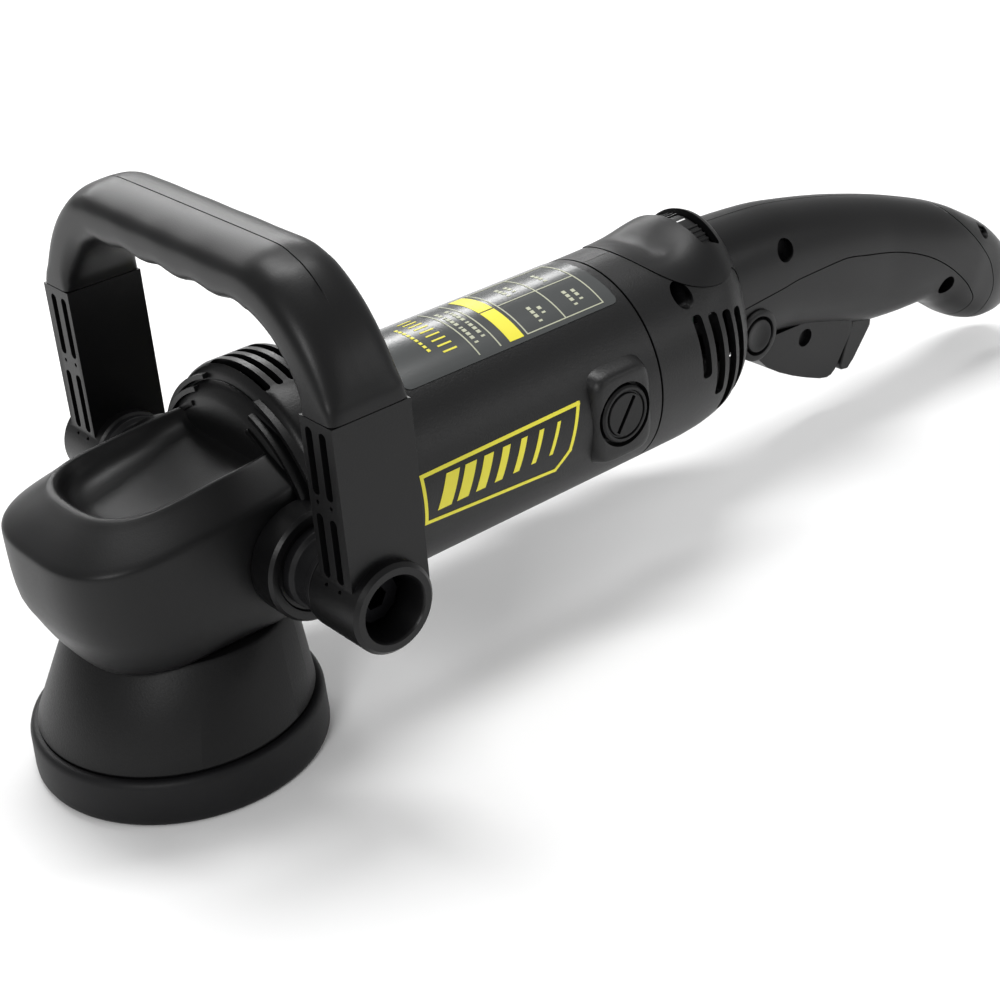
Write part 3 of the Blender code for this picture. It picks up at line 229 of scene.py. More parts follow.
# ---------------------------------------------------------------- shapes
def eased(rows: Sequence[Sequence[float]], count: int) -> np.ndarray:
    """Rows of numbers run through a smooth curve that never overshoots.

    Args:
        rows: the given rows; the curve passes through each of them.
        count: how many rows to return between each pair.
    Returns:
        The longer table.
    """
    data = np.array(rows, float)
    steps = data[1:] - data[:-1]
    slope = np.zeros_like(data)
    for i in range(1, len(data) - 1):
        same = steps[i - 1] * steps[i] > 0
        with np.errstate(divide="ignore", invalid="ignore"):
            mean = 2 * steps[i - 1] * steps[i] / (steps[i - 1] + steps[i])
        slope[i] = np.where(same, mean, 0.0)
    slope[0], slope[-1] = steps[0], steps[-1]
    out = []
    for i in range(len(steps)):
        for k in range(count):
            t = k / count
            a, b = 2 * t ** 3 - 3 * t ** 2 + 1, t ** 3 - 2 * t ** 2 + t
            c, d = -2 * t ** 3 + 3 * t ** 2, t ** 3 - t ** 2
            out.append(a * data[i] + b * slope[i] + c * data[i + 1] + d * slope[i + 1])
    out.append(data[-1])
    return np.array(out)


def power(value: float, exponent: float) -> float:
    """Signed power, for rounded-box curves."""
    return math.copysign(abs(value) ** exponent, value)


def loft(sections: Sequence[Section], count: int = 72) -> bmesh.types.BMesh:
    """Skin a row of closed sections and cap both ends.

    Args:
        sections: each gives the point of one section at an angle.
        count: points round a section.
    Returns:
        A closed mesh.
    """
    bm = bmesh.new()
    ring = bmesh.ops.create_circle(bm, segments=count, radius=1.0)["verts"]
    angles = {v: math.atan2(v.co.y, v.co.x) for v in ring}
    edges = list({e for v in ring for e in v.link_edges})
    for v in ring:
        v.co = sections[0](angles[v])
    bmesh.ops.contextual_create(bm, geom=edges)
    for section in sections[1:]:
        made = bmesh.ops.extrude_edge_only(bm, edges=edges)["geom"]
        fresh = {}
        for v in (g for g in made if isinstance(g, bmesh.types.BMVert)):
            mate = next(e.other_vert(v) for e in v.link_edges if e.other_vert(v) in angles)
            fresh[v] = angles[mate]
        edges = [g for g in made if isinstance(g, bmesh.types.BMEdge)]
        for v, angle in fresh.items():
            v.co = section(angle)
        angles = fresh
    bmesh.ops.contextual_create(bm, geom=edges)
    bmesh.ops.recalc_face_normals(bm, faces=bm.faces)
    return bm


def turned(profile: Sequence[Pair], axis: Axis, at: Pair = (0.0, 0.0), steps: int = 96,
           sweep: float = 360.0, start: float = 0.0) -> bmesh.types.BMesh:
    """Turn a profile about an axis.

    Args:
        profile: (radius, station) points; it closes on itself or on the axis.
        axis: the axis to turn about.
        at: where the axis stands in the two other directions.
        steps: facets round the piece.
        sweep: how far to turn, in degrees.
        start: the angle that the turn starts from, in degrees.
    Returns:
        A closed mesh.
    """
    bm = bmesh.new()
    verts = [bm.verts.new((r, 0.0, h)) for r, h in profile]
    edges = [bm.edges.new(pair) for pair in zip(verts, verts[1:])]
    on_axis = profile[0][0] < 1e-6 and profile[-1][0] < 1e-6
    if not on_axis:
        edges.append(bm.edges.new((verts[-1], verts[0])))
    whole = sweep >= 360.0
    geom = verts + edges
    if not whole:
        geom = geom + bmesh.ops.contextual_create(bm, geom=edges)["faces"]
    bmesh.ops.spin(bm, geom=geom, cent=(0, 0, 0), axis=(0, 0, 1), dvec=(0, 0, 0),
                   angle=math.radians(sweep), steps=steps, use_merge=whole)
    bmesh.ops.remove_doubles(bm, verts=bm.verts, dist=1e-4)
    turn = Matrix.Rotation(math.radians(start), 4, "Z")
    frames = {Axis.Z: Matrix.Translation((at[0], at[1], 0.0)),
              Axis.X: Matrix.Translation((0.0, at[0], at[1]))
              @ Matrix(((0, 0, 1, 0), (1, 0, 0, 0), (0, 1, 0, 0), (0, 0, 0, 1))),
              Axis.Y: Matrix.Translation((at[0], 0.0, at[1]))
              @ Matrix(((1, 0, 0, 0), (0, 0, 1, 0), (0, 1, 0, 0), (0, 0, 0, 1)))}
    bmesh.ops.transform(bm, matrix=frames[axis] @ turn, verts=bm.verts)
    bmesh.ops.recalc_face_normals(bm, faces=bm.faces)
    return bm


def plate(outline: Sequence[Pair], low: float, high: float,
          axis: Axis = Axis.Y) -> bmesh.types.BMesh:
    """Push a flat outline along an axis.

    Args:
        outline: points in the plane square to the axis, in X, Y, Z order.
        low: where the plate starts.
        high: where it ends.
        axis: the axis it is pushed along.
    Returns:
        A closed mesh.
    """
    def point(a: float, b: float) -> tuple[float, float, float]:
        """Place one outline point at the plate's start."""
        return {Axis.X: (low, a, b), Axis.Y: (a, low, b), Axis.Z: (a, b, low)}[axis]

    bm = bmesh.new()
    face = bm.faces.new([bm.verts.new(point(a, b)) for a, b in outline])
    made = bmesh.ops.extrude_face_region(bm, geom=[face])["geom"]
    way = Vector((0.0, 0.0, 0.0))
    way[axis.value] = high - low
    bmesh.ops.translate(bm, vec=way, verts=[g for g in made if isinstance(g, bmesh.types.BMVert)])
    bmesh.ops.recalc_face_normals(bm, faces=bm.faces)
    return bm


def rounded(x0: float, x1: float, z0: float, z1: float, r: float, steps: int = 5) -> list[Pair]:
    """Outline of a rectangle with round corners.

    Args:
        x0, x1: its two sides.
        z0, z1: its lower and upper edge.
        r: radius of the corners.
        steps: facets in each corner.
    Returns:
        Points, anticlockwise.
    """
    points = []
    corners = ((x1 - r, z1 - r, 0), (x0 + r, z1 - r, 90), (x0 + r, z0 + r, 180),
               (x1 - r, z0 + r, 270))
    for cx, cz, turn in corners:
        for k in range(steps + 1):
            a = math.radians(turn + 90 * k / steps)
            points.append((cx + r * math.cos(a), cz + r * math.sin(a)))
    return points


def block(low: Sequence[float], high: Sequence[float]) -> bmesh.types.BMesh:
    """Box between two corners."""
    return plate([(low[0], low[1]), (high[0], low[1]), (high[0], high[1]), (low[0], high[1])],
                 low[2], high[2], Axis.Z)


def merged(parts: Iterable[bmesh.types.BMesh]) -> bmesh.types.BMesh:
    """One mesh that holds several.

    Args:
        parts: the meshes; they are freed.
    Returns:
        The new mesh.
    """
    bm = bmesh.new()
    for part in parts:
        mesh = bpy.data.meshes.new("part")
        part.to_mesh(mesh)
        part.free()
        bm.from_mesh(mesh)
        bpy.data.meshes.remove(mesh)
    return bm


def carved(body: bmesh.types.BMesh, tools: Sequence[bmesh.types.BMesh],
           how: Join = Join.CUT) -> bmesh.types.BMesh:
    """Run exact booleans on a mesh.

    Args:
        body: the mesh that is worked on.
        tools: the closed meshes that work on it, in order.
        how: what each tool does.
    Returns:
        The result.
    """
    things = []
    for bm in (body, *tools):
        mesh = bpy.data.meshes.new("tool")
        bmesh.ops.recalc_face_normals(bm, faces=bm.faces)
        bm.to_mesh(mesh)
        bm.free()
        thing = bpy.data.objects.new("tool", mesh)
        bpy.context.scene.collection.objects.link(thing)
        things.append(thing)
    for thing in things[1:]:
        step = things[0].modifiers.new("step", "BOOLEAN")
        step.object = thing
        step.operation = how.value
        step.solver = "EXACT"
    solid = things[0].evaluated_get(bpy.context.evaluated_depsgraph_get())
    out = bmesh.new()
    out.from_mesh(solid.data)
    for thing in things:
        mesh = thing.data
        bpy.data.objects.remove(thing)
        bpy.data.meshes.remove(mesh)
    return out


def scored(bm: bmesh.types.BMesh, axis: Axis, at: float, depth: float, width: float,
           above: float = -1e9) -> None:
    """Press a thin seam line into a mesh where a plane crosses it.

    Args:
        bm: the mesh.
        axis: the plane's normal.
        at: where the plane stands.
        depth: how deep the line is.
        width: how wide it is.
        above: only points higher than this are pressed in.
    """
    way = Vector((0.0, 0.0, 0.0))
    way[axis.value] = 1.0
    for shift in (-width / 2, 0.0, width / 2):
        bmesh.ops.bisect_plane(bm, geom=list(bm.verts) + list(bm.edges) + list(bm.faces),
                               dist=1e-4, plane_co=way * (at + shift), plane_no=way)
    bm.normal_update()
    moves = [(v, v.normal.copy()) for v in bm.verts
             if abs(v.co[axis.value] - at) < 1e-3 and v.co.z > above]
    for v, normal in moves:
        v.co -= normal * depth


def bent(bm: bmesh.types.BMesh, r: float) -> None:
    """Roll a flat sheet round the motor: X stays, Y becomes the arc from the top, Z the height.

    Args:
        bm: the flat sheet; it is bent in place.
        r: radius that the sheet's underside ends up on.
    """
    reach = max(abs(v.co.y) for v in bm.verts)
    step = math.radians(3.0) * r
    for i in range(-int(reach / step) - 1, int(reach / step) + 2):
        bmesh.ops.bisect_plane(bm, geom=list(bm.verts) + list(bm.edges) + list(bm.faces),
                               dist=1e-4, plane_co=(0, i * step, 0), plane_no=(0, 1, 0))
    for v in bm.verts:
        angle, out = v.co.y / r, r + v.co.z
        v.co = Vector((v.co.x, out * math.sin(angle), MOTOR_Z + out * math.cos(angle)))


@dataclass(frozen=True)
class ScrewSeat:
    """Deep round seat for a screw's head in the left side."""

    x: float
    z: float
    r: float
    face: float             # depth of its floor, measured from the middle plane

    def hole(self) -> bmesh.types.BMesh:
        """Tool that opens the seat."""
        profile = [(0.0, -60.0), (self.r, -60.0), (self.r, -self.face), (0.0, -self.face)]
        return turned(profile, Axis.Y, (self.x, self.z), 40)

    def post(self, skin: bmesh.types.BMesh) -> bmesh.types.BMesh:
        """Moulded post round the seat.

        Args:
            skin: closed mesh that the post must stay inside.
        Returns:
            A closed mesh.
        """
        r, face = self.r, self.face
        profile = [(0.0, -face), (r, -face), (r, -60.0), (r + 1.8, -60.0), (r + 1.8, 1.5 - face),
                   (0.0, 1.5 - face)]
        return carved(turned(profile, Axis.Y, (self.x, self.z), 40), [skin], Join.KEEP)


@dataclass
class Piece:
    """One finished piece and everything the frame wants to know about it."""

    name: str
    finish: Finish
    body: str
    slot: str
    stands_for: tuple[str, ...] = ()
    bevel: float = 0.0
    angle: float = 32.0
    segments: int = 3

    def make(self, bm: bmesh.types.BMesh) -> bpy.types.Object:
        """Put a mesh into the scene.

        Args:
            bm: the mesh in the spindle frame; it is freed.
        Returns:
            The new object.
        """
        bmesh.ops.remove_doubles(bm, verts=bm.verts, dist=0.002)
        bmesh.ops.recalc_face_normals(bm, faces=bm.faces)
        bmesh.ops.transform(bm, matrix=TO_ROW, verts=bm.verts)
        mesh = bpy.data.meshes.new(self.name)
        bm.to_mesh(mesh)
        bm.free()
        mesh.polygons.foreach_set("use_smooth", [True] * len(mesh.polygons))
        made = bpy.data.objects.new(self.name, mesh)
        bpy.context.scene.collection.objects.link(made)
        mesh.materials.append(self.finish.material())
        if self.bevel:
            edge = made.modifiers.new("edge", "BEVEL")
            edge.width = self.bevel * 0.001
            edge.segments = self.segments
            edge.limit_method = "ANGLE"
            edge.angle_limit = math.radians(self.angle)
            edge.harden_normals = True
            edge.use_clamp_overlap = True
        else:
            mesh.set_sharp_from_angle(angle=math.radians(self.angle))
        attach(made, self.body)
        if self.stands_for:
            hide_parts(*self.stands_for)
        LOG.info("%s: %d faces", self.name, len(mesh.polygons))
        return made


# ---------------------------------------------------------------- shroud
@dataclass
class Shroud:
    """Coned skirt round the pad and the rubber ring on its rim."""

    ring_r: float = 47.3
    ring_h: float = 15.5
    ring_t: float = 3.7
    wall: float = 2.5
    top_r: float = 35.4
    top_z: float = 46.5
    lean: float = 6.2
    neck_r: float = 20.1

    def build(self) -> None:
        """Make both pieces."""
        self.cone()
        self.ring()

    def cone(self) -> None:
        """Turn the skirt upright, then lean it back towards the motor."""
        inner = self.ring_r - self.ring_t
        skirt = inner - 0.3
        foot = self.ring_h + 0.3
        profile = [(skirt, 3.0), (skirt, foot), (skirt + 0.7, foot + 0.2), (skirt + 0.9, foot + 0.9),
                   (self.top_r + 0.4, self.top_z - 1.0), (self.top_r - 0.6, self.top_z),
                   (self.neck_r, self.top_z), (self.neck_r, self.top_z - self.wall),
                   (self.top_r - self.wall, self.top_z - self.wall), (skirt - self.wall, foot),
                   (skirt - self.wall, 3.0)]
        bm = turned(profile, Axis.Z, steps=128)
        for v in bm.verts:
            rise = max(v.co.z - foot, 0.0) / (self.top_z - foot)
            reach = min(max((math.hypot(v.co.x, v.co.y) - self.neck_r) / 8.0, 0.0), 1.0)
            v.co.x += self.lean * rise * reach
        Piece("shroud_cone", NYLON_MATT, "body", "shroud_shell", ("shroud",), 0.35).make(bm)

    def ring(self) -> None:
        """Turn the rubber ring, with its rounded lip and the shallow step under it."""
        r, inner = self.ring_r, self.ring_r - self.ring_t
        profile = [(inner - 2.4, 0.4), (inner - 2.0, 0.0), (r - 1.6, 0.0), (r - 0.5, 0.4),
                   (r - 0.1, 1.3), (r, 2.6), (r - 0.35, 13.2), (r - 0.8, 14.5), (r - 1.5, 15.2),
                   (r - 2.3, self.ring_h), (inner + 0.4, self.ring_h), (inner, self.ring_h - 0.5),
                   (inner, 2.7), (inner - 2.4, 2.7)]
        Piece("rubber_ring", RING_RUBBER, "body", "bumper_rubber", ("shroud_bumper",),
              angle=50.0).make(turned(profile, Axis.Z, steps=128))


# ---------------------------------------------------------------- head
@dataclass
class Head:
    """Soft boot over the gear case, the vented collar behind it and the two bosses."""

    front: float = 39.5
    half: float = 36.5
    tilt: float = 0.09
    low: float = 46.8
    collar_r: float = 49.8
    collar_half: float = 46.0
    boss_r: float = 18.4
    boss_face: float = 47.0
    slots: tuple[float, ...] = (38.8, 43.5, 48.2, 52.9)

    def build(self) -> None:
        """Make the boot, the collar with its ribs and bosses, and the spacers."""
        self.boot()
        self.collar()
        self.spacers()

    def outline(self, z: float, front: float, half: float, rear: float, tilt: float,
                square: float) -> Section:
        """Section of the boot at one height: round in front, square behind."""
        def point(angle: float) -> Vector:
            """Point of the outline at an angle; the front lies at half a turn."""
            c, s = math.cos(angle), math.sin(angle)
            y = half * power(s, 2 / square)
            x = rear * power(c, 2 / 7.0) if c > 0 else front * power(c, 2 / square)
            return Vector((x, y, z + tilt * x))
        return point

    def boot(self) -> None:
        """Loft the boot up its side, over the rim and down into the dish."""
        z, f, h = self.low, self.front, self.half
        side = [(z, f - 9.2, h - 5.4, 45, 0.0, 3.0), (z + 0.5, f - 8.2, h - 4.4, 45, 0.0, 3.0),
                (z + 3, f - 6.6, h - 3.0, 45, 0.0, 3.0), (z + 9.5, f - 3.6, h - 0.8, 45, 0.0, 3.0),
                (z + 15, f - 1.3, h - 0.1, 45, 0.0, 3.0), (z + 25, f - 0.2, h, 45, 0.02, 3.0),
                (84.5, f, h, 45, 0.07, 3.0), (87.2, f - 0.1, h - 0.1, 45, 0.08, 3.0),
                (88.6, f - 0.7, h - 0.7, 45, self.tilt, 3.0),
                (89.8, f - 2.2, h - 2.1, 45, self.tilt, 3.0),
                (93.2, f - 7.6, h - 7.0, 44, self.tilt, 2.9),
                (95.9, f - 13.2, h - 10.8, 43, self.tilt * 0.9, 2.8),
                (96.6, f - 15.2, h - 11.8, 43, self.tilt * 0.8, 2.8),
                (96.5, f - 16.6, h - 12.6, 42.5, self.tilt * 0.8, 2.7),
                (95.4, f - 17.8, h - 13.3, 42, self.tilt * 0.8, 2.7),
                (92.4, f - 19.6, h - 14.6, 42, 0.12, 2.6), (90.2, f - 22.0, h - 17.0, 41, 0.15, 2.5),
                (89.0, f - 26.5, h - 21.0, 40, 0.17, 2.4), (88.6, f - 34.0, h - 29.0, 40, 0.18, 2.2)]
        sections = [self.outline(*row) for row in eased(side, 2)]
        bm = loft(sections, 120)
        Piece("head_boot", SOFT_COVER, "body", "soft_cover", ("head_cover",),
              angle=40.0).make(bm)

    def around(self, x: float, half: float, up: float, down: float, square: float) -> Section:
        """Section of the collar at one station, round above and boxed below."""
        def point(angle: float) -> Vector:
            """Point of the section at an angle from the far side."""
            c, s = math.cos(angle), math.sin(angle)
            if s >= 0:
                return Vector((x, half * c, MOTOR_Z + up * s))
            return Vector((x, half * power(c, 2 / square), MOTOR_Z + down * power(s, 2 / square)))
        return point

    def collar(self) -> None:
        """Loft the collar's two steps, cut its slots and add ribs and bosses."""
        h, r = self.collar_half, self.collar_r
        rows = [(30.6, 34.0, 30.0, 20.5, 3.4), (31.4, 36.8, 39.6, 20.7, 3.4),
                (32.6, 39.3, 42.3, 20.7, 3.4), (34.2, 40.9, 43.9, 20.7, 3.4),
                (36.2, 41.7, 44.7, 20.7, 3.4), (36.5, 41.6, 44.6, 20.7, 3.4),
                (36.8, 42.6, 46.0, 20.7, 3.4), (37.6, 44.4, 48.2, 20.7, 3.4),
                (39.0, h - 0.4, r - 0.5, 20.7, 3.3), (41.0, h, r, 20.7, 3.3),
                (56.0, h, r, 26.0, 2.6), (57.6, h - 0.3, r - 0.5, 27.5, 2.5),
                (63.7, 42.3, 44.3, 31.3, 2.3), (68.0, 39.3, 40.0, 36.0, 2.1),
                (70.2, 38.2, 38.3, 37.7, 2.0), (71.7, 38.0, 38.0, 38.0, 2.0)]
        outer = loft([self.around(*row) for row in rows], 96)
        inner = [(33.6, 31.0, 24.0, 17.0, 3.4), (37.0, 37.5, 40.0, 17.8, 3.4),
                 (41.0, h - 2.8, r - 2.8, 17.9, 3.3), (55.5, h - 2.8, r - 2.8, 23.0, 2.6),
                 (63.0, 39.2, 41.3, 28.3, 2.3), (68.0, 36.3, 37.0, 33.0, 2.1),
                 (73.0, 35.2, 35.2, 35.2, 2.0)]
        bosses = []
        for _, s in SIDES:
            face = self.boss_face
            profile = [(0.0, s * 37.0), (self.boss_r, s * 37.0), (self.boss_r, s * (face - 1.2)),
                       (self.boss_r - 0.9, s * (face - 0.1)), (self.boss_r - 2.2, s * face),
                       (self.boss_r - 3.4, s * (face - 0.3)), (self.boss_r - 3.9, s * (face - 1.1)),
                       (0.0, s * (face - 1.1))]
            bosses.append(turned(profile, Axis.Y, HUB, 64))
        bm = carved(outer, bosses, Join.ADD)
        slots = [plate(rounded(x, x + 2.5, -15.6, 15.6, 1.2, 4), 96.0, 125.0, Axis.Z)
                 for x in self.slots]
        bm = carved(bm, [loft([self.around(*row) for row in inner], 96), *slots])
        ribs = []
        for k, (radius, x) in enumerate(((45.6, 36.3), (42.6, 33.4), (38.6, 32.0))):
            profile = [(radius - 0.8, x - 1.3), (radius + 0.8, x - 1.3), (radius + 0.9, x + 3),
                       (radius - 0.9, x + 3)]
            for start in (18.0 - k * 3.0, 108.0 + k * 2.0):
                ribs.append(turned(profile, Axis.X, (0.0, MOTOR_Z), 24, 54.0, start))
        bm = merged([bm, *ribs])
        Piece("vented_collar", NYLON_SATIN, "body", "black_shell", ("nose_housing",), 0.4,
              38.0).make(bm)

    def spacers(self) -> None:
        """Turned spacer between each boss and its bail leg."""
        for side, s in SIDES:
            a, b = self.boss_face - 0.9, 59.7
            profile = [(5.1, s * a), (13.4, s * a), (13.4, s * (a + 3.0)), (12.2, s * (a + 4.2)),
                       (12.2, s * (b - 3.2)), (13.7, s * (b - 2.0)), (13.7, s * b), (5.1, s * b)]
            Piece(f"spacer_{side}", RING_RUBBER, "body", "bail_plastic", (f"bail_spacer_{side}",),
                  0.3).make(turned(profile, Axis.Y, HUB, 64))


# ---------------------------------------------------------------- motor
@dataclass
class Motor:
    """Barrel, its raised pads with the brush caps, the rating label and the side stripes."""

    r: float = 38.0
    start: float = 72.0
    end: float = 182.2
    brush_x: float = 162.4
    pad: tuple[float, float] = (25.0, 32.0)
    pad_y: float = 40.0
    cap_r: float = 10.3

    def build(self) -> None:
        """Make the barrel, the caps and the prints."""
        self.barrel()
        self.caps()
        self.label()
        self.stripes()

    def barrel(self) -> None:
        """Turn the barrel, grow a soft pad on each side and sink the cap's seat."""
        r, a, b = self.r, self.start, self.end
        profile = [(r - 2.6, a), (r - 0.5, a), (r, a + 0.5), (r, b - 0.6), (r - 0.6, b), (r - 2.6, b)]
        bm = turned(profile, Axis.X, (0.0, MOTOR_Z), 128)
        w, h = self.pad[0] / 2, self.pad[1] / 2
        pads, seats = [], []
        for _, s in SIDES:
            def ring(y: float, grow: float, s: float = s) -> Section:
                """Rounded rectangle of the pad at one depth."""
                return lambda t: Vector((self.brush_x + (w + grow) * power(math.cos(t), 0.42), s * y,
                                         MOTOR_Z + (h + grow) * power(math.sin(t), 0.42)))
            rows = [(30.0, 2.4), (34.5, 1.5), (37.5, 0.6), (39.0, -0.1), (39.7, -0.9),
                    (self.pad_y, -2.2)]
            pads.append(loft([ring(y, g) for y, g in rows], 96))
            seats.append(turned([(0.0, s * 35.8), (self.cap_r + 1.3, s * 35.8),
                                 (self.cap_r + 1.3, s * 42.0), (0.0, s * 42.0)], Axis.Y,
                                (self.brush_x, MOTOR_Z), 64))
        bm = carved(carved(bm, pads, Join.ADD), seats)
        Piece("motor_barrel", NYLON, "body", "black_shell", ("motor_housing",), 0.3,
              40.0).make(bm)

    def caps(self) -> None:
        """Turn each brush cap with a ring groove and cut its driver slot."""
        for side, s in SIDES:
            r, face = self.cap_r, 40.4
            profile = [(0.0, 35.0), (r, 35.0), (r, face - 0.7), (r - 0.7, face), (8.7, face),
                       (8.4, face - 0.8), (7.9, face - 0.8), (7.6, face + 0.1), (0.0, face + 0.1)]
            cap = turned([(q, s * y) for q, y in profile], Axis.Y, (self.brush_x, MOTOR_Z), 72)
            x, z = self.brush_x, MOTOR_Z
            line = [(x - 4.6, z - 5.2), (x - 3.4, z - 6.2), (x + 4.6, z + 5.2), (x + 3.4, z + 6.2)]
            lo, hi = sorted((s * 38.2, s * 42.0))
            Piece(f"cap_{side}", NYLON_SATIN, "body", "brush_cap_plastic", (f"brush_cap_{side}",),
                  0.2).make(carved(cap, [plate(line, lo, hi)]))

    def arc(self, degrees: float) -> float:
        """Distance round the barrel from its top, towards the right side."""
        return math.radians(degrees) * self.r

    def lay(self, name: str, ink: Finish, outlines: Sequence[Sequence[Pair]],
              height: float) -> None:
        """Lay flat outlines on the barrel as a thin raised print.

        Args:
            name: the piece's name.
            ink: its finish.
            outlines: points as station and arc from the barrel's top.
            height: how far the print's foot stands off the barrel.
        """
        bm = merged(plate(o, 0.0, 0.12, Axis.Z) for o in outlines)
        bent(bm, self.r + height)
        Piece(name, ink, "body", "label_film", angle=20.0).make(bm)

    def label(self) -> None:
        """Film on the barrel's top with a ruled table, a bar and rows of plain dashes."""
        a0, a1 = self.arc(-35.5), self.arc(35.5)
        film = plate(rounded(86.0, 178.0, a0, a1, 2.5), 0.0, 0.3, Axis.Z)
        bent(film, self.r - 0.05)
        Piece("label_film", FILM, "body", "label_film", ("top_label",), angle=20.0).make(film)

        def bar(x0: float, x1: float, d0: float, d1: float) -> list[Pair]:
            """Rectangle between two stations and two angles."""
            return [(x0, self.arc(d0)), (x1, self.arc(d0)), (x1, self.arc(d1)), (x0, self.arc(d1))]

        near, far = -33.0, 17.0
        lines = [bar(138.0, 138.5, near, far), bar(172.0, 172.5, near, far),
                 bar(138.0, 172.5, near, near + 0.6), bar(138.0, 172.5, far - 0.6, far),
                 bar(138.0, 172.5, -8.6, -8.0), bar(155.0, 155.5, near, far),
                 bar(117.2, 117.7, near, far), bar(126.2, 126.7, near, far)]
        self.lay("label_rules", INK_PALE, lines, 0.24)
        self.lay("label_bar", INK_YELLOW, [bar(130.5, 136.5, near, -8.8),
                                            bar(130.5, 136.5, -7.8, far)], 0.24)
        dashes = []
        for x, height, first, last in ((119.2, 1.5, -26.0, 10.0), (123.0, 1.5, -24.0, 10.0),
                                       (145.5, 1.5, -29.0, -14.0), (149.0, 1.5, -25.0, -16.0),
                                       (145.5, 1.5, -4.0, 11.0), (149.0, 1.5, -2.0, 8.0),
                                       (162.0, 1.5, -28.0, -13.0), (165.5, 1.5, -26.0, -16.0),
                                       (162.0, 1.5, -4.0, 9.0)):
            step = 3.1
            for k in range(int((last - first) / step)):
                d = first + k * step
                dashes.append(bar(x, x + height, d, d + (2.2 if k % 4 else 1.2)))
        self.lay("label_dashes", INK_PALE, dashes, 0.24)
        marks = [bar(107.0, 112.6, -24.0 + 4.6 * k, -22.9 + 4.6 * k) for k in range(9)]
        marks += [bar(102.6, 103.8, -20.0 + 3.2 * k, -18.0 + 3.2 * k) for k in range(9)]
        self.lay("label_marks", INK_YELLOW, marks, 0.24)

    def stripes(self) -> None:
        """Plain slanted stripes in a frame on each side, in place of lettering."""
        corners = [(77.5, 13.9), (144.4, 15.1), (138.8, -7.8), (132.7, -16.4), (77.5, -11.0)]
        for side, s in SIDES:
            def at(x: float, d: float, s: float = s) -> Pair:
                """Station and arc for an angle above the side's middle."""
                return (x, s * self.arc(90.0 - d))
            frame_lines = []
            for (x0, d0), (x1, d1) in zip(corners, corners[1:] + corners[:1]):
                a, b = Vector(at(x0, d0)), Vector(at(x1, d1))
                along = (b - a).normalized()
                off = Vector((-along.y, along.x)) * 0.65
                a, b = a - along * 0.65, b + along * 0.65
                frame_lines.append([tuple(a - off), tuple(b - off), tuple(b + off), tuple(a + off)])
            self.lay(f"stripe_frame_{side}", INK_YELLOW, frame_lines, 0.0)
            bars = []
            for k, width in enumerate((9.0, 7.6, 6.4, 5.2, 4.2, 3.2, 2.4)):
                x0 = 82.0 + 7.9 * k
                low, high = -6.5 + 0.2 * k, 10.4
                bars.append([at(x0, low), at(x0 + width * 0.62, low), at(x0 + width * 0.62 + 5.0, high),
                             at(x0 + 5.0, high)])
            self.lay(f"stripe_bars_{side}", INK_YELLOW, bars, 0.0)


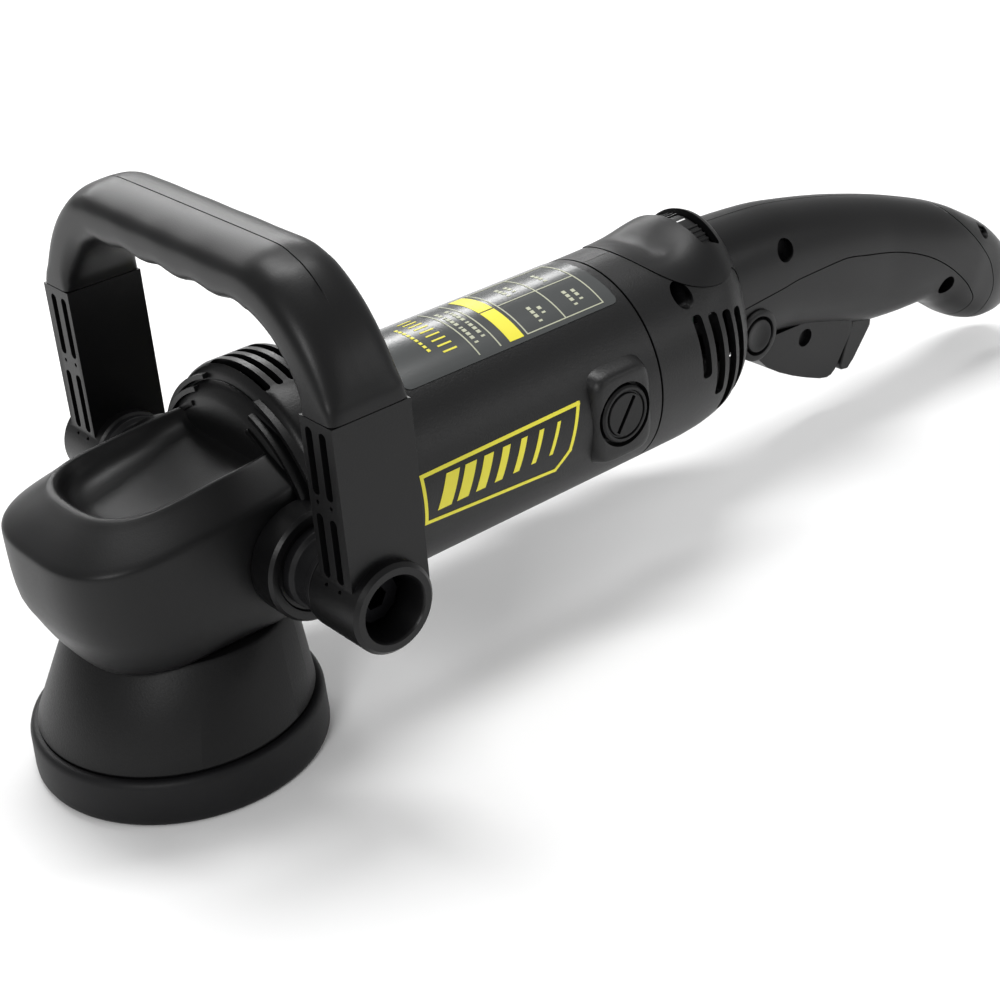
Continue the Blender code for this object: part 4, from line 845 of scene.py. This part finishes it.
# ---------------------------------------------------------------- bail
@dataclass
class Bail:
    """Grip over the head and the two slotted legs it stands on."""

    x0: float = 19.2
    x1: float = 46.4
    inner: float = 63.9
    outer: float = 79.2
    top: float = 130.2
    hub_r: float = 14.3
    well_r: float = 10.3
    hub_face: float = 83.2
    crown: float = 166.4
    opening: float = 152.0
    wave: float = 0.7

    def build(self) -> None:
        """Make the grip and both legs."""
        self.grip()
        for side, s in SIDES:
            self.leg(side, s)

    def grip(self) -> None:
        """Loft the grip from one leg to the other, with finger waves under it."""
        t, o = self.crown, self.outer
        rows = [(o, 130.35, self.inner, 130.35, 9.0, 0.0),
                (o - 0.3, 133.5, self.inner - 0.9, 133.5, 6.0, 0.0),
                (o - 1.6, t - 28.5, self.inner - 3.1, self.opening - 14.4, 4.0, 0.4),
                (o - 6.1, t - 18.6, self.inner - 7.9, self.opening - 8.4, 3.4, 1.6),
                (o - 14.6, t - 7.4, self.inner - 14.9, self.opening - 3.0, 3.2, 2.6),
                (o - 26.9, t + 1.4, self.inner - 24.9, self.opening + 0.2, 3.1, 3.2),
                (o - 38.0, t + 3.9, self.inner - 31.0, self.opening + 0.2, 3.0, 3.6),
                (18.0, t + 4.0, 15.5, self.opening + 0.2, 3.0, 3.8),
                (0.0, t + 4.0, 0.0, self.opening, 3.0, 3.8)]
        half = eased(rows, 6)
        mirror = half[:-1][::-1].copy()
        mirror[:, 0] *= -1
        mirror[:, 2] *= -1
        table = np.vstack([half, mirror])
        mid, reach = (self.x0 + self.x1) / 2, (self.x1 - self.x0) / 2

        def section(row: np.ndarray) -> Section:
            """Rounded box between the outer and the inner line."""
            wave = self.wave * math.sin(2 * math.pi * row[2] / 19.0) if abs(row[2]) < 40 else 0.0
            high, low = Vector((0, row[0], row[1])), Vector((0, row[2], row[3] + wave))
            centre, way = (high + low) / 2, (high - low) / 2

            def point(angle: float) -> Vector:
                """Point of the section; the slope lowers the front edge of the top."""
                c, s = power(math.cos(angle), 2 / row[4]), power(math.sin(angle), 2 / row[4])
                lift = row[5] * (c * 0.22 - 0.42 * c * c) if s > 0 else 0.0
                return Vector((mid + reach * c, 0, 0)) + centre + way * s + Vector((0, 0, lift * s))
            return point

        bm = loft([section(row) for row in table], 72)
        scored(bm, Axis.X, 33.0, 0.35, 0.5, 160.0)
        Piece("bail_handgrip", GRIP_RUBBER, "bail", "grip_rubber", ("bail_grip",), 0.5,
              50.0).make(bm)

    def leg(self, side: str, s: float) -> None:
        """Join a plate and a hub, sink the well and press the slots into the front.

        Args:
            side: the side's name.
            s: its sign along Y.
        """
        lo, hi = sorted((s * self.inner, s * self.outer))
        body = block((self.x0, lo, HUB[1]), (self.x1, hi, self.top - 0.15))
        hub = [(0.0, s * 60.0), (self.hub_r - 0.8, s * 60.0), (self.hub_r, s * 60.8),
               (self.hub_r, s * (self.hub_face - 1.2)), (self.hub_r - 1.2, s * self.hub_face),
               (0.0, s * self.hub_face)]
        bm = carved(body, [turned(hub, Axis.Y, HUB, 72)], Join.ADD)
        well = [(0.0, s * 66.0), (self.well_r, s * 66.0), (self.well_r, s * (self.hub_face - 0.8)),
                (self.well_r + 1.4, s * (self.hub_face + 1.0)), (0.0, s * (self.hub_face + 1.0))]
        tools = [turned(well, Axis.Y, HUB, 72),
                 turned([(0.0, s * 58.0), (5.1, s * 58.0), (5.1, s * 67.0), (0.0, s * 67.0)],
                        Axis.Y, HUB, 36)]
        for z0, z1 in ((79.2, 100.2), (106.2, 127.4)):
            for y in (self.inner + 3.7, self.outer - 5.2):
                slot = rounded(s * y - 1.6, s * y + 1.6, z0, z1, 1.5, 4)
                tools.append(plate(slot, self.x0 - 1.0, self.x0 + 6.0, Axis.X))
                dot = rounded(s * y - 0.7, s * y + 0.7, z0 - 3.0, z0 - 1.6, 0.65, 4)
                tools.append(plate(dot, self.x0 - 1.0, self.x0 + 1.2, Axis.X))
        Piece(f"bail_leg_shell_{side}", NYLON_SATIN, "bail", "bail_plastic", (f"bail_leg_{side}",),
              0.45, 40.0).make(carved(bm, tools))


# ---------------------------------------------------------------- rear cover
@dataclass
class Rear:
    """Vented rear cover in two halves, the soft saddle and the speed dial."""

    start: float = 182.5
    end: float = 238.0
    wall: float = 2.8
    dial_x: float = 227.5
    dial_z: float = 88.2
    dial_r: float = 20.4
    dial_w: float = 7.6
    arc: tuple[float, float, float] = (221.0, 126.0, 33.0)
    screw: ScrewSeat = ScrewSeat(203.0, 93.9, 4.1, 15.3)
    vents: tuple[Pair, ...] = ((204.3, 65.1), (211.5, 55.7), (218.2, 45.3), (224.6, 43.6))

    def skin(self, inset: float, start: float, end: float, grow: float = 0.0) -> bmesh.types.BMesh:
        """Loft the cover's outer or inner skin.

        Args:
            inset: how far inside the outer skin.
            start: first station.
            end: last station.
            grow: how much taller the hump behind the dial is.
        Returns:
            A closed mesh.
        """
        rows = [(self.start, 0, 0, 0), (200.3, 0, 0.3, 0), (210.3, -0.3, 1.2, -0.5),
                (221.2, -1.8, 4.0, -2.6), (226.0, -3.6, 4.4 + grow, -5.0),
                (231.0, -6.5, 3.5 + grow, -8.5), (235.5, -10.6, 1.5 + grow * 0.6, -13.2),
                (self.end, -14.0, -1.5, -17.0)]
        table = eased(rows, 4)
        table[0][0], table[-1][0] = start, end

        def ring(row: np.ndarray) -> Section:
            """Section at one station."""
            half, up, down = (38.0 + row[k] - inset for k in (1, 2, 3))
            return lambda t: Vector((row[0], half * math.cos(t),
                                     MOTOR_Z + (up if math.sin(t) > 0 else down) * math.sin(t)))
        return loft([ring(row) for row in table], 96)

    def region(self, grow: float) -> bmesh.types.BMesh:
        """Prism that bounds the saddle in side view.

        Args:
            grow: how far the bound is moved outwards.
        Returns:
            A closed mesh.
        """
        x, z, r = self.arc
        r += grow
        outline = []
        for k in range(41):
            a = math.radians(200.0 + 88.0 * k / 40)
            outline.append((x + r * math.cos(a), z + r * math.sin(a)))
        outline += [(234.5 + grow, 92.0 - grow), (237.2 + grow, 86.0 - grow), (245.0, 84.0 - grow),
                    (245.0, 130.0), (188.0, 130.0)]
        return plate(outline, -60.0, 60.0)

    def build(self) -> None:
        """Make the halves, the saddle and the dial."""
        for side, s in SIDES:
            self.half(side, s)
        self.saddle()
        self.dial()

    def half(self, side: str, s: float) -> None:
        """Cut one half out of the shell, with its vents and, on the left half, the screw seat.

        Args:
            side: the side's name.
            s: its sign along Y.
        """
        bm = carved(self.skin(0.0, self.start, self.end),
                    [self.skin(self.wall, self.start - 2.0, self.end + 2.0), self.region(0.15)])
        lo, hi = sorted((s * 0.1, s * 70.0))
        bm = carved(bm, [block((150.0, lo, 0.0), (250.0, hi, 150.0))], Join.KEEP)
        tools = []
        for k, (x, z0) in enumerate(self.vents):
            lo, hi = sorted((s * 9.3, s * 52.0))
            slot = rounded(x - 2.2, x + 2.2, z0, MOTOR_Z + 20 - 1.2 * k, 1.6, 4)
            tools.append(plate(slot, lo, hi))
        if s < 0:
            tools.append(ScrewSeat(self.screw.x, self.screw.z, self.screw.r, 14.0).hole())
        bm = carved(bm, tools)
        if s < 0:
            bm = merged([bm, self.screw.post(self.skin(0.6, self.start, self.end))])
        Piece(f"rear_shell_{side}", NYLON, "body", "black_shell", (f"rear_cover_{side}",), 0.35,
              42.0).make(bm)

    def saddle(self) -> None:
        """Cut the saddle out of a slightly proud skin, dish it and open the wheel's slot."""
        def shaped(inset: float, start: float, end: float) -> bmesh.types.BMesh:
            """Cover skin with the finger dish pressed in and the hump raised.

            Args:
                inset: how far inside the outer skin.
                start: first station.
                end: last station.
            Returns:
                A closed mesh.
            """
            skin = self.skin(inset, start, end, 0.5)
            for v in skin.verts:
                dish = math.exp(-((v.co.x - 209.5) / 7.5) ** 2 - (v.co.y / 13.0) ** 4)
                hump = math.exp(-((v.co.x - 235.0) / 5.0) ** 2 - (v.co.y / 15.0) ** 4)
                v.co.z += (0.9 * hump - 2.8 * dish) * (v.co.z > MOTOR_Z + 20)
            return skin

        bm = carved(shaped(-0.35, self.start, self.end),
                    [shaped(self.wall, self.start - 2.0, self.end + 2.0)])
        bm = carved(bm, [self.region(-0.15)], Join.KEEP)
        wide = self.dial_w / 2 + 0.8
        slot = plate(rounded(self.dial_x - wide, self.dial_x + wide, -18.5, 18.5, 2.0), 90.0, 130.0,
                     Axis.Z)
        Piece("dial_saddle_skin", SOFT_COVER, "body", "soft_cover", ("dial_saddle",), 0.6,
              42.0).make(carved(bm, [slot]))

    def dial(self) -> None:
        """Ribbed thumbwheel with plain numerals round its rim."""
        r, w = self.dial_r, self.dial_w / 2
        profile = [(3.4, -w), (r - 1.2, -w), (r - 0.2, -w + 1.0), (r - 0.2, w - 1.0), (r - 1.2, w),
                   (3.4, w)]
        bm = turned([(q, self.dial_x + h) for q, h in profile], Axis.X, (0.0, self.dial_z), 120)
        ribs = []
        for k in range(60):
            if k % 10 < 4:
                continue
            rib = block((self.dial_x - w + 0.8, -0.4, r - 0.8),
                        (self.dial_x + w - 0.8, 0.4, r + 0.25))
            bmesh.ops.rotate(rib, cent=(0, 0, 0), verts=rib.verts,
                             matrix=Matrix.Rotation(math.radians(6.0 * k), 3, "X"))
            bmesh.ops.translate(rib, vec=(0, 0, self.dial_z), verts=rib.verts)
            ribs.append(rib)
        Piece("dial_wheel", ACETAL, "dial", "dial_plastic", ("speed_dial",), 0.15).make(
            merged([bm, *ribs]))
        self.numerals()

    def numerals(self) -> None:
        """Numerals 1 to 6, one on each plain stretch of the rim."""
        parts = []
        for k in range(6):
            curve = bpy.data.curves.new("numeral", "FONT")
            curve.body = str(k + 1)
            curve.size = 6.2
            curve.extrude = 0.12
            curve.align_x, curve.align_y = "CENTER", "CENTER"
            thing = bpy.data.objects.new("numeral", curve)
            bpy.context.scene.collection.objects.link(thing)
            bpy.context.view_layer.update()
            bm = bmesh.new()
            bm.from_mesh(thing.to_mesh())
            thing.to_mesh_clear()
            bpy.data.objects.remove(thing)
            bpy.data.curves.remove(curve)
            turn = Matrix.Rotation(math.radians(60.0 * k + 9.0), 4, "X")
            stand = Matrix.Translation((self.dial_x, 0, self.dial_z))
            rim = Matrix.Translation((0, 0, self.dial_r - 0.2))
            face = rim @ Matrix.Rotation(math.pi / 2, 4, "Z")
            bmesh.ops.transform(bm, matrix=stand @ turn @ face, verts=bm.verts)
            parts.append(bm)
        Piece("dial_numerals", INK_WHITE, "dial", "dial_plastic", angle=30.0).make(merged(parts))


# ---------------------------------------------------------------- tail handle
@dataclass
class Handle:
    """Arched tail handle: two lower halves with the guard, two soft halves and an end cap."""

    half: float = 20.5
    wall: float = 3.0
    rows: tuple[tuple[float, ...], ...] = (
        (238.3, 102.5, 238.3, 48.0, 0.0), (250.0, 102.0, 250.0, 50.0, -0.5),
        (270.0, 100.5, 266.0, 50.0, -1.0), (290.0, 97.0, 284.0, 47.0, -1.5),
        (310.0, 92.5, 301.0, 42.0, -2.0), (323.0, 89.0, 315.0, 38.0, -2.5),
        (338.0, 84.5, 328.0, 35.0, -3.0), (354.0, 79.0, 344.0, 33.5, -3.0),
        (368.0, 73.7, 357.0, 33.0, -3.0), (380.0, 68.3, 366.0, 30.0, -3.0),
        (391.0, 62.0, 374.0, 24.5, -3.0), (400.0, 56.5, 382.0, 19.0, -3.5),
        (408.5, 49.5, 390.0, 15.0, -4.0), (415.0, 42.0, 398.0, 12.6, -5.5),
        (419.5, 34.0, 406.0, 12.0, -8.0), (421.5, 27.0, 412.5, 13.0, -11.5),
        (421.8, 22.5, 417.0, 15.8, -16.0))
    seam: tuple[Pair, ...] = (
        (236.0, 73.0), (263.0, 74.3), (274.0, 75.1), (297.0, 74.7), (314.5, 71.2), (333.0, 66.3),
        (351.5, 58.6), (368.0, 47.6), (380.0, 35.8), (384.6, 28.0), (382.0, 21.0), (376.0, 8.0))
    cap_seam: tuple[Pair, ...] = (
        (362.0, 84.0), (371.0, 71.3), (386.6, 53.1), (394.3, 40.9), (396.4, 31.2), (393.5, 21.0),
        (388.0, 8.0))
    guard: tuple[Pair, ...] = (
        (254.0, 52.0), (258.5, 44.5), (264.0, 39.0), (271.5, 34.0), (280.0, 29.3), (289.0, 25.0),
        (297.0, 21.6), (301.5, 20.4), (304.0, 20.8), (306.0, 22.5), (309.5, 30.0), (313.5, 38.0),
        (312.0, 50.0))
    pivot: Pair = (326.0, 42.0)
    lock: Pair = (248.5, 60.8)
    lock_r: float = 6.6
    lock_face: float = 21.5
    slot: tuple[Pair, ...] = ((308.5, 30.0), (306.0, 14.0), (320.0, 14.0), (338.0, 32.0),
                              (338.0, 53.0), (308.5, 53.0))
    gap: float = 0.22
    top_seat: ScrewSeat = ScrewSeat(266.6, 88.1, 4.3, 13.3)
    guard_seat: ScrewSeat = ScrewSeat(285.3, 44.2, 3.7, 8.2)
    hook_seat: ScrewSeat = ScrewSeat(365.9, 41.1, 4.0, 10.0)
    cap_seat: ScrewSeat = ScrewSeat(394.3, 55.8, 3.6, 9.0)

    def hull(self, inset: float, last: int | None = None) -> bmesh.types.BMesh:
        """Loft the whole handle.

        Args:
            inset: how far inside the outer skin.
            last: how many rows to use, for a hollow that ends before the tail.
        Returns:
            A closed mesh.
        """
        rows = [list(row) for row in self.rows[:last]]
        if inset:
            rows[0][0] = rows[0][2] = 236.0
        table = eased(rows, 4)

        def ring(row: np.ndarray) -> Section:
            """Section square to the handle's line."""
            top, low = Vector((row[0], 0, row[1])), Vector((row[2], 0, row[3]))
            centre, up = (top + low) / 2, (top - low) / 2
            up *= (up.length - inset) / up.length
            half = self.half + row[4] - inset
            return lambda t: (centre + up * power(math.sin(t), 2 / 2.35)
                              + Vector((0, half * power(math.cos(t), 2 / 2.35), 0)))
        return loft([ring(row) for row in table], 80)

    @staticmethod
    def shifted(line: Sequence[Pair], distance: float) -> list[Pair]:
        """Smooth line moved sideways.

        Args:
            line: points that the line passes through.
            distance: how far it moves, to the left of its run.
        Returns:
            The points of the moved line.
        """
        points = [Vector(row) for row in eased(line, 5)]
        out = []
        for i, p in enumerate(points):
            way = (points[min(i + 1, len(points) - 1)] - points[max(i - 1, 0)]).normalized()
            out.append((p.x - way.y * distance, p.y + way.x * distance))
        return out

    def build(self) -> None:
        """Make the shells, the cap, the trigger and the lock button."""
        self.lower()
        self.upper()
        self.cap()
        self.trigger()
        self.button()

    def lower(self) -> None:
        """Join hull, guard and button boss, then keep what lies under the seam."""
        guard = plate(self.guard, -11.5, 11.5)
        for v in guard.verts:
            if v.co.z < 45:
                v.co.y *= 1.0 - 0.012 * (45.0 - v.co.z)
        boss = [(0.0, -12.0), (self.lock_r + 3.6, -12.0), (self.lock_r + 3.4, -20.6),
                (self.lock_r + 2.6, -21.3), (self.lock_r + 1.0, -21.3), (self.lock_r + 0.5, -20.4),
                (self.lock_r + 0.3, -16.0), (0.0, -16.0)]
        bm = carved(self.hull(0.0), [guard, turned(boss, Axis.Y, self.lock, 64)], Join.ADD)
        bm = carved(bm, [self.hull(self.wall, 14)])
        outline = self.shifted(self.seam, -self.gap) + [(225.0, 8.0), (225.0, 73.0)]
        bm = carved(bm, [plate(outline, -60.0, 60.0)], Join.KEEP)
        clear = 7.3
        hole = [(0.0, -26.0), (self.lock_r + 0.3, -26.0), (self.lock_r + 0.3, -9.0), (0.0, -9.0)]
        bm = carved(bm, [plate(self.slot, -clear, clear), turned(hole, Axis.Y, self.lock, 64),
                         self.guard_seat.hole(), self.hook_seat.hole()])
        bm = merged([bm, self.hook_seat.post(self.hull(0.6))])
        scored(bm, Axis.Y, 0.0, 0.3, 0.5)
        Piece("handle_lower_shell", NYLON_SATIN, "body", "black_shell",
              ("handle_lower_left", "handle_lower_right"), 0.4, 42.0).make(bm)

    def upper(self) -> None:
        """Keep the soft skin between the side seam and the end cap's seam."""
        bm = carved(self.hull(0.0), [self.hull(self.wall, 14)])
        outline = self.shifted(self.seam, self.gap)
        outline += list(reversed(self.shifted(self.cap_seam, -self.gap)))
        outline += [(225.0, 120.0), (225.0, 73.0)]
        bm = carved(bm, [plate(outline, -60.0, 60.0)], Join.KEEP)
        bm = carved(bm, [self.top_seat.hole()])
        bm = merged([bm, self.top_seat.post(self.hull(0.6))])
        scored(bm, Axis.Y, 0.0, 0.3, 0.5)
        Piece("handle_soft_shell", GRIP_RUBBER, "body", "grip_rubber", ("grip_left", "grip_right"),
              0.4, 42.0).make(bm)

    def cap(self) -> None:
        """Keep the tail behind its seam, with its screw seat and the cord's hole."""
        bm = carved(self.hull(0.0), [self.hull(self.wall, 14)])
        outline = self.shifted(self.cap_seam, self.gap) + [(445.0, 8.0), (445.0, 84.0)]
        bm = carved(bm, [plate(outline, -60.0, 60.0)], Join.KEEP)
        cord = turned([(0.0, 5.0), (5.3, 5.0), (5.3, 34.0), (0.0, 34.0)], Axis.Z, (406.5, 0.0), 40)
        bm = carved(bm, [cord, self.cap_seat.hole()])
        bm = merged([bm, self.cap_seat.post(self.hull(0.6))])
        Piece("tail_cap", NYLON_SATIN, "body", "black_shell", ("end_cap",), 0.4, 42.0).make(bm)

    def trigger(self) -> None:
        """Round-edged paddle with a dished front."""
        px, pz = self.pivot
        outline = [(-8.3, -6.0), (-11.6, -13.0), (-14.5, -20.5), (-14.2, -22.2), (-13.2, -23.0),
                   (-9.8, -23.7), (-6.0, -20.4), (3.7, -9.0), (5.0, 0.0), (4.0, 11.0),
                   (-4.0, 11.0), (-6.0, 3.0)]
        bm = plate([(px + a, pz + b) for a, b in outline], -6.5, 6.5)
        Piece("trigger_paddle", ACETAL, "trigger", "trigger_plastic", ("trigger",), 0.9,
              30.0).make(bm)

    def button(self) -> None:
        """Lock button with a shallow dish and a rounded edge."""
        r, face = self.lock_r, self.lock_face
        profile = [(0.0, -face + 0.7), (r - 2.6, -face + 0.5), (r - 1.4, -face + 0.05),
                   (r - 0.5, -face + 0.1), (r, -face + 0.8), (r, -face + 3.6), (0.0, -face + 3.6)]
        Piece("lock_cap", NYLON_SATIN, "lock", "trigger_plastic", ("lock_button",),
              angle=40.0).make(turned(profile, Axis.Y, self.lock, 64))


# ---------------------------------------------------------------- inner parts
@dataclass
class Works:
    """The CAD nodes that stay: each gets the finish of its material slot."""

    finishes: dict[str, Finish] = field(default_factory=lambda: {
        "black_shell": NYLON, "shroud_shell": NYLON_MATT, "soft_cover": SOFT_COVER,
        "bumper_rubber": RING_RUBBER, "grip_rubber": GRIP_RUBBER, "bail_plastic": NYLON_SATIN,
        "bolt_steel": BLACK_STEEL, "label_film": FILM, "trigger_plastic": ACETAL,
        "dial_plastic": ACETAL, "brush_cap_plastic": NYLON_SATIN, "gland_rubber": RING_RUBBER,
        "gear_case_metal": CAST, "steel": STEEL, "spring_steel": WIRE, "lamination": SHEETS,
        "copper": COPPER, "fan_plastic": FAN, "brass": BRASS, "carbon": CARBON,
        "switch_plastic": ACETAL, "board": BOARD})

    def build(self) -> None:
        """Dress every CAD node."""
        slots = {row["node"]: row["material_slot"] for row in frame["record"]["subparts"]}
        for name, thing in frame["nodes"].items():
            thing.data.materials.clear()
            thing.data.materials.append(self.finishes[slots[name]].material())


# ---------------------------------------------------------------- studio
@dataclass
class Studio:
    """Pale floor, soft lamps and the camera."""

    target: tuple[float, float, float] = (137.19, 0.0, 29.67)
    eye: tuple[float, float, float] = (-236.37, -473.22, 364.43)
    roll: float = -4.67
    lens: float = 70.12

    def build(self) -> None:
        """Set the whole stage."""
        self.floor()
        self.lamps()
        self.camera()

    def floor(self) -> None:
        """Wide pale floor under the ring."""
        bm = bmesh.new()
        bmesh.ops.create_circle(bm, cap_ends=True, segments=96, radius=9.0)
        mesh = bpy.data.meshes.new("floor")
        bm.to_mesh(mesh)
        bm.free()
        floor = bpy.data.objects.new("floor", mesh)
        floor.location = (0.0, 0.0, -0.0004)
        mesh.materials.append(Finish("floor_paint", "fbfbfb", 0.9, grain=6.0, relief=0.01,
                                     drift=0.0, level=0.1).material())
        bpy.context.scene.collection.objects.link(floor)

    def lamp(self, name: str, place: Sequence[float], size: Pair, power_w: float,
             aim: Sequence[float] = (-0.03, 0.0, 0.06)) -> None:
        """Add one soft rectangular lamp.

        Args:
            name: the lamp's name.
            place: where it stands, in metres.
            size: its two sides, in metres.
            power_w: its power in watts.
            aim: the point it faces.
        """
        data = bpy.data.lights.new(name, "AREA")
        data.shape = "RECTANGLE"
        data.size, data.size_y = size
        data.energy = power_w
        thing = bpy.data.objects.new(name, data)
        thing.location = place
        thing.rotation_mode = "QUATERNION"
        thing.rotation_quaternion = (Vector(aim) - Vector(place)).to_track_quat("-Z", "Y")
        bpy.context.scene.collection.objects.link(thing)

    def lamps(self) -> None:
        """Overhead softbox, near-left key, far rim and a low fill, in a pale room."""
        self.lamp("overhead", (0.15, 0.3, 1.5), (1.0, 0.3), 15.0)
        self.lamp("key", (-1.25, -0.75, 0.95), (0.4, 0.4), 7.0)
        self.lamp("rim", (0.4, 1.5, 0.9), (1.6, 0.25), 16.0)
        self.lamp("fill", (0.9, -1.4, 0.7), (1.0, 0.3), 3.0)
        world = bpy.data.worlds.new("room")
        bpy.context.scene.world = world
        world.use_nodes = True
        back = next(n for n in world.node_tree.nodes if n.type == "BACKGROUND")
        back.inputs["Color"].default_value = linear("ffffff")
        back.inputs["Strength"].default_value = 0.42
        bpy.context.scene.view_settings.view_transform = "Standard"

    def camera(self) -> None:
        """Camera in front and to the left, turned a little about its own axis."""
        eye, target = TO_ROW @ Vector(self.eye), TO_ROW @ Vector(self.target)
        back = (eye - target).normalized()
        right = Vector((0, 0, 1)).cross(back).normalized()
        up = back.cross(right)
        a = math.radians(self.roll)
        x_axis = right * math.cos(a) + up * math.sin(a)
        y_axis = up * math.cos(a) - right * math.sin(a)
        data = bpy.data.cameras.new("camera")
        data.lens = self.lens
        data.sensor_width = 36.0
        data.clip_start = 0.01
        thing = bpy.data.objects.new("camera", data)
        facing = Matrix((x_axis, y_axis, back)).transposed().to_4x4()
        thing.matrix_world = Matrix.Translation(eye) @ facing
        bpy.context.scene.collection.objects.link(thing)
        bpy.context.scene.camera = thing


def main() -> None:
    """Build every sub-assembly in order and report each one."""
    logging.basicConfig(level=logging.INFO, format="%(name)s %(message)s")
    for part in (Works(), Shroud(), Head(), Motor(), Bail(), Rear(), Handle(), Studio()):
        part.build()
        LOG.info("built %s", type(part).__name__)


if __name__ == "__main__":
    main()
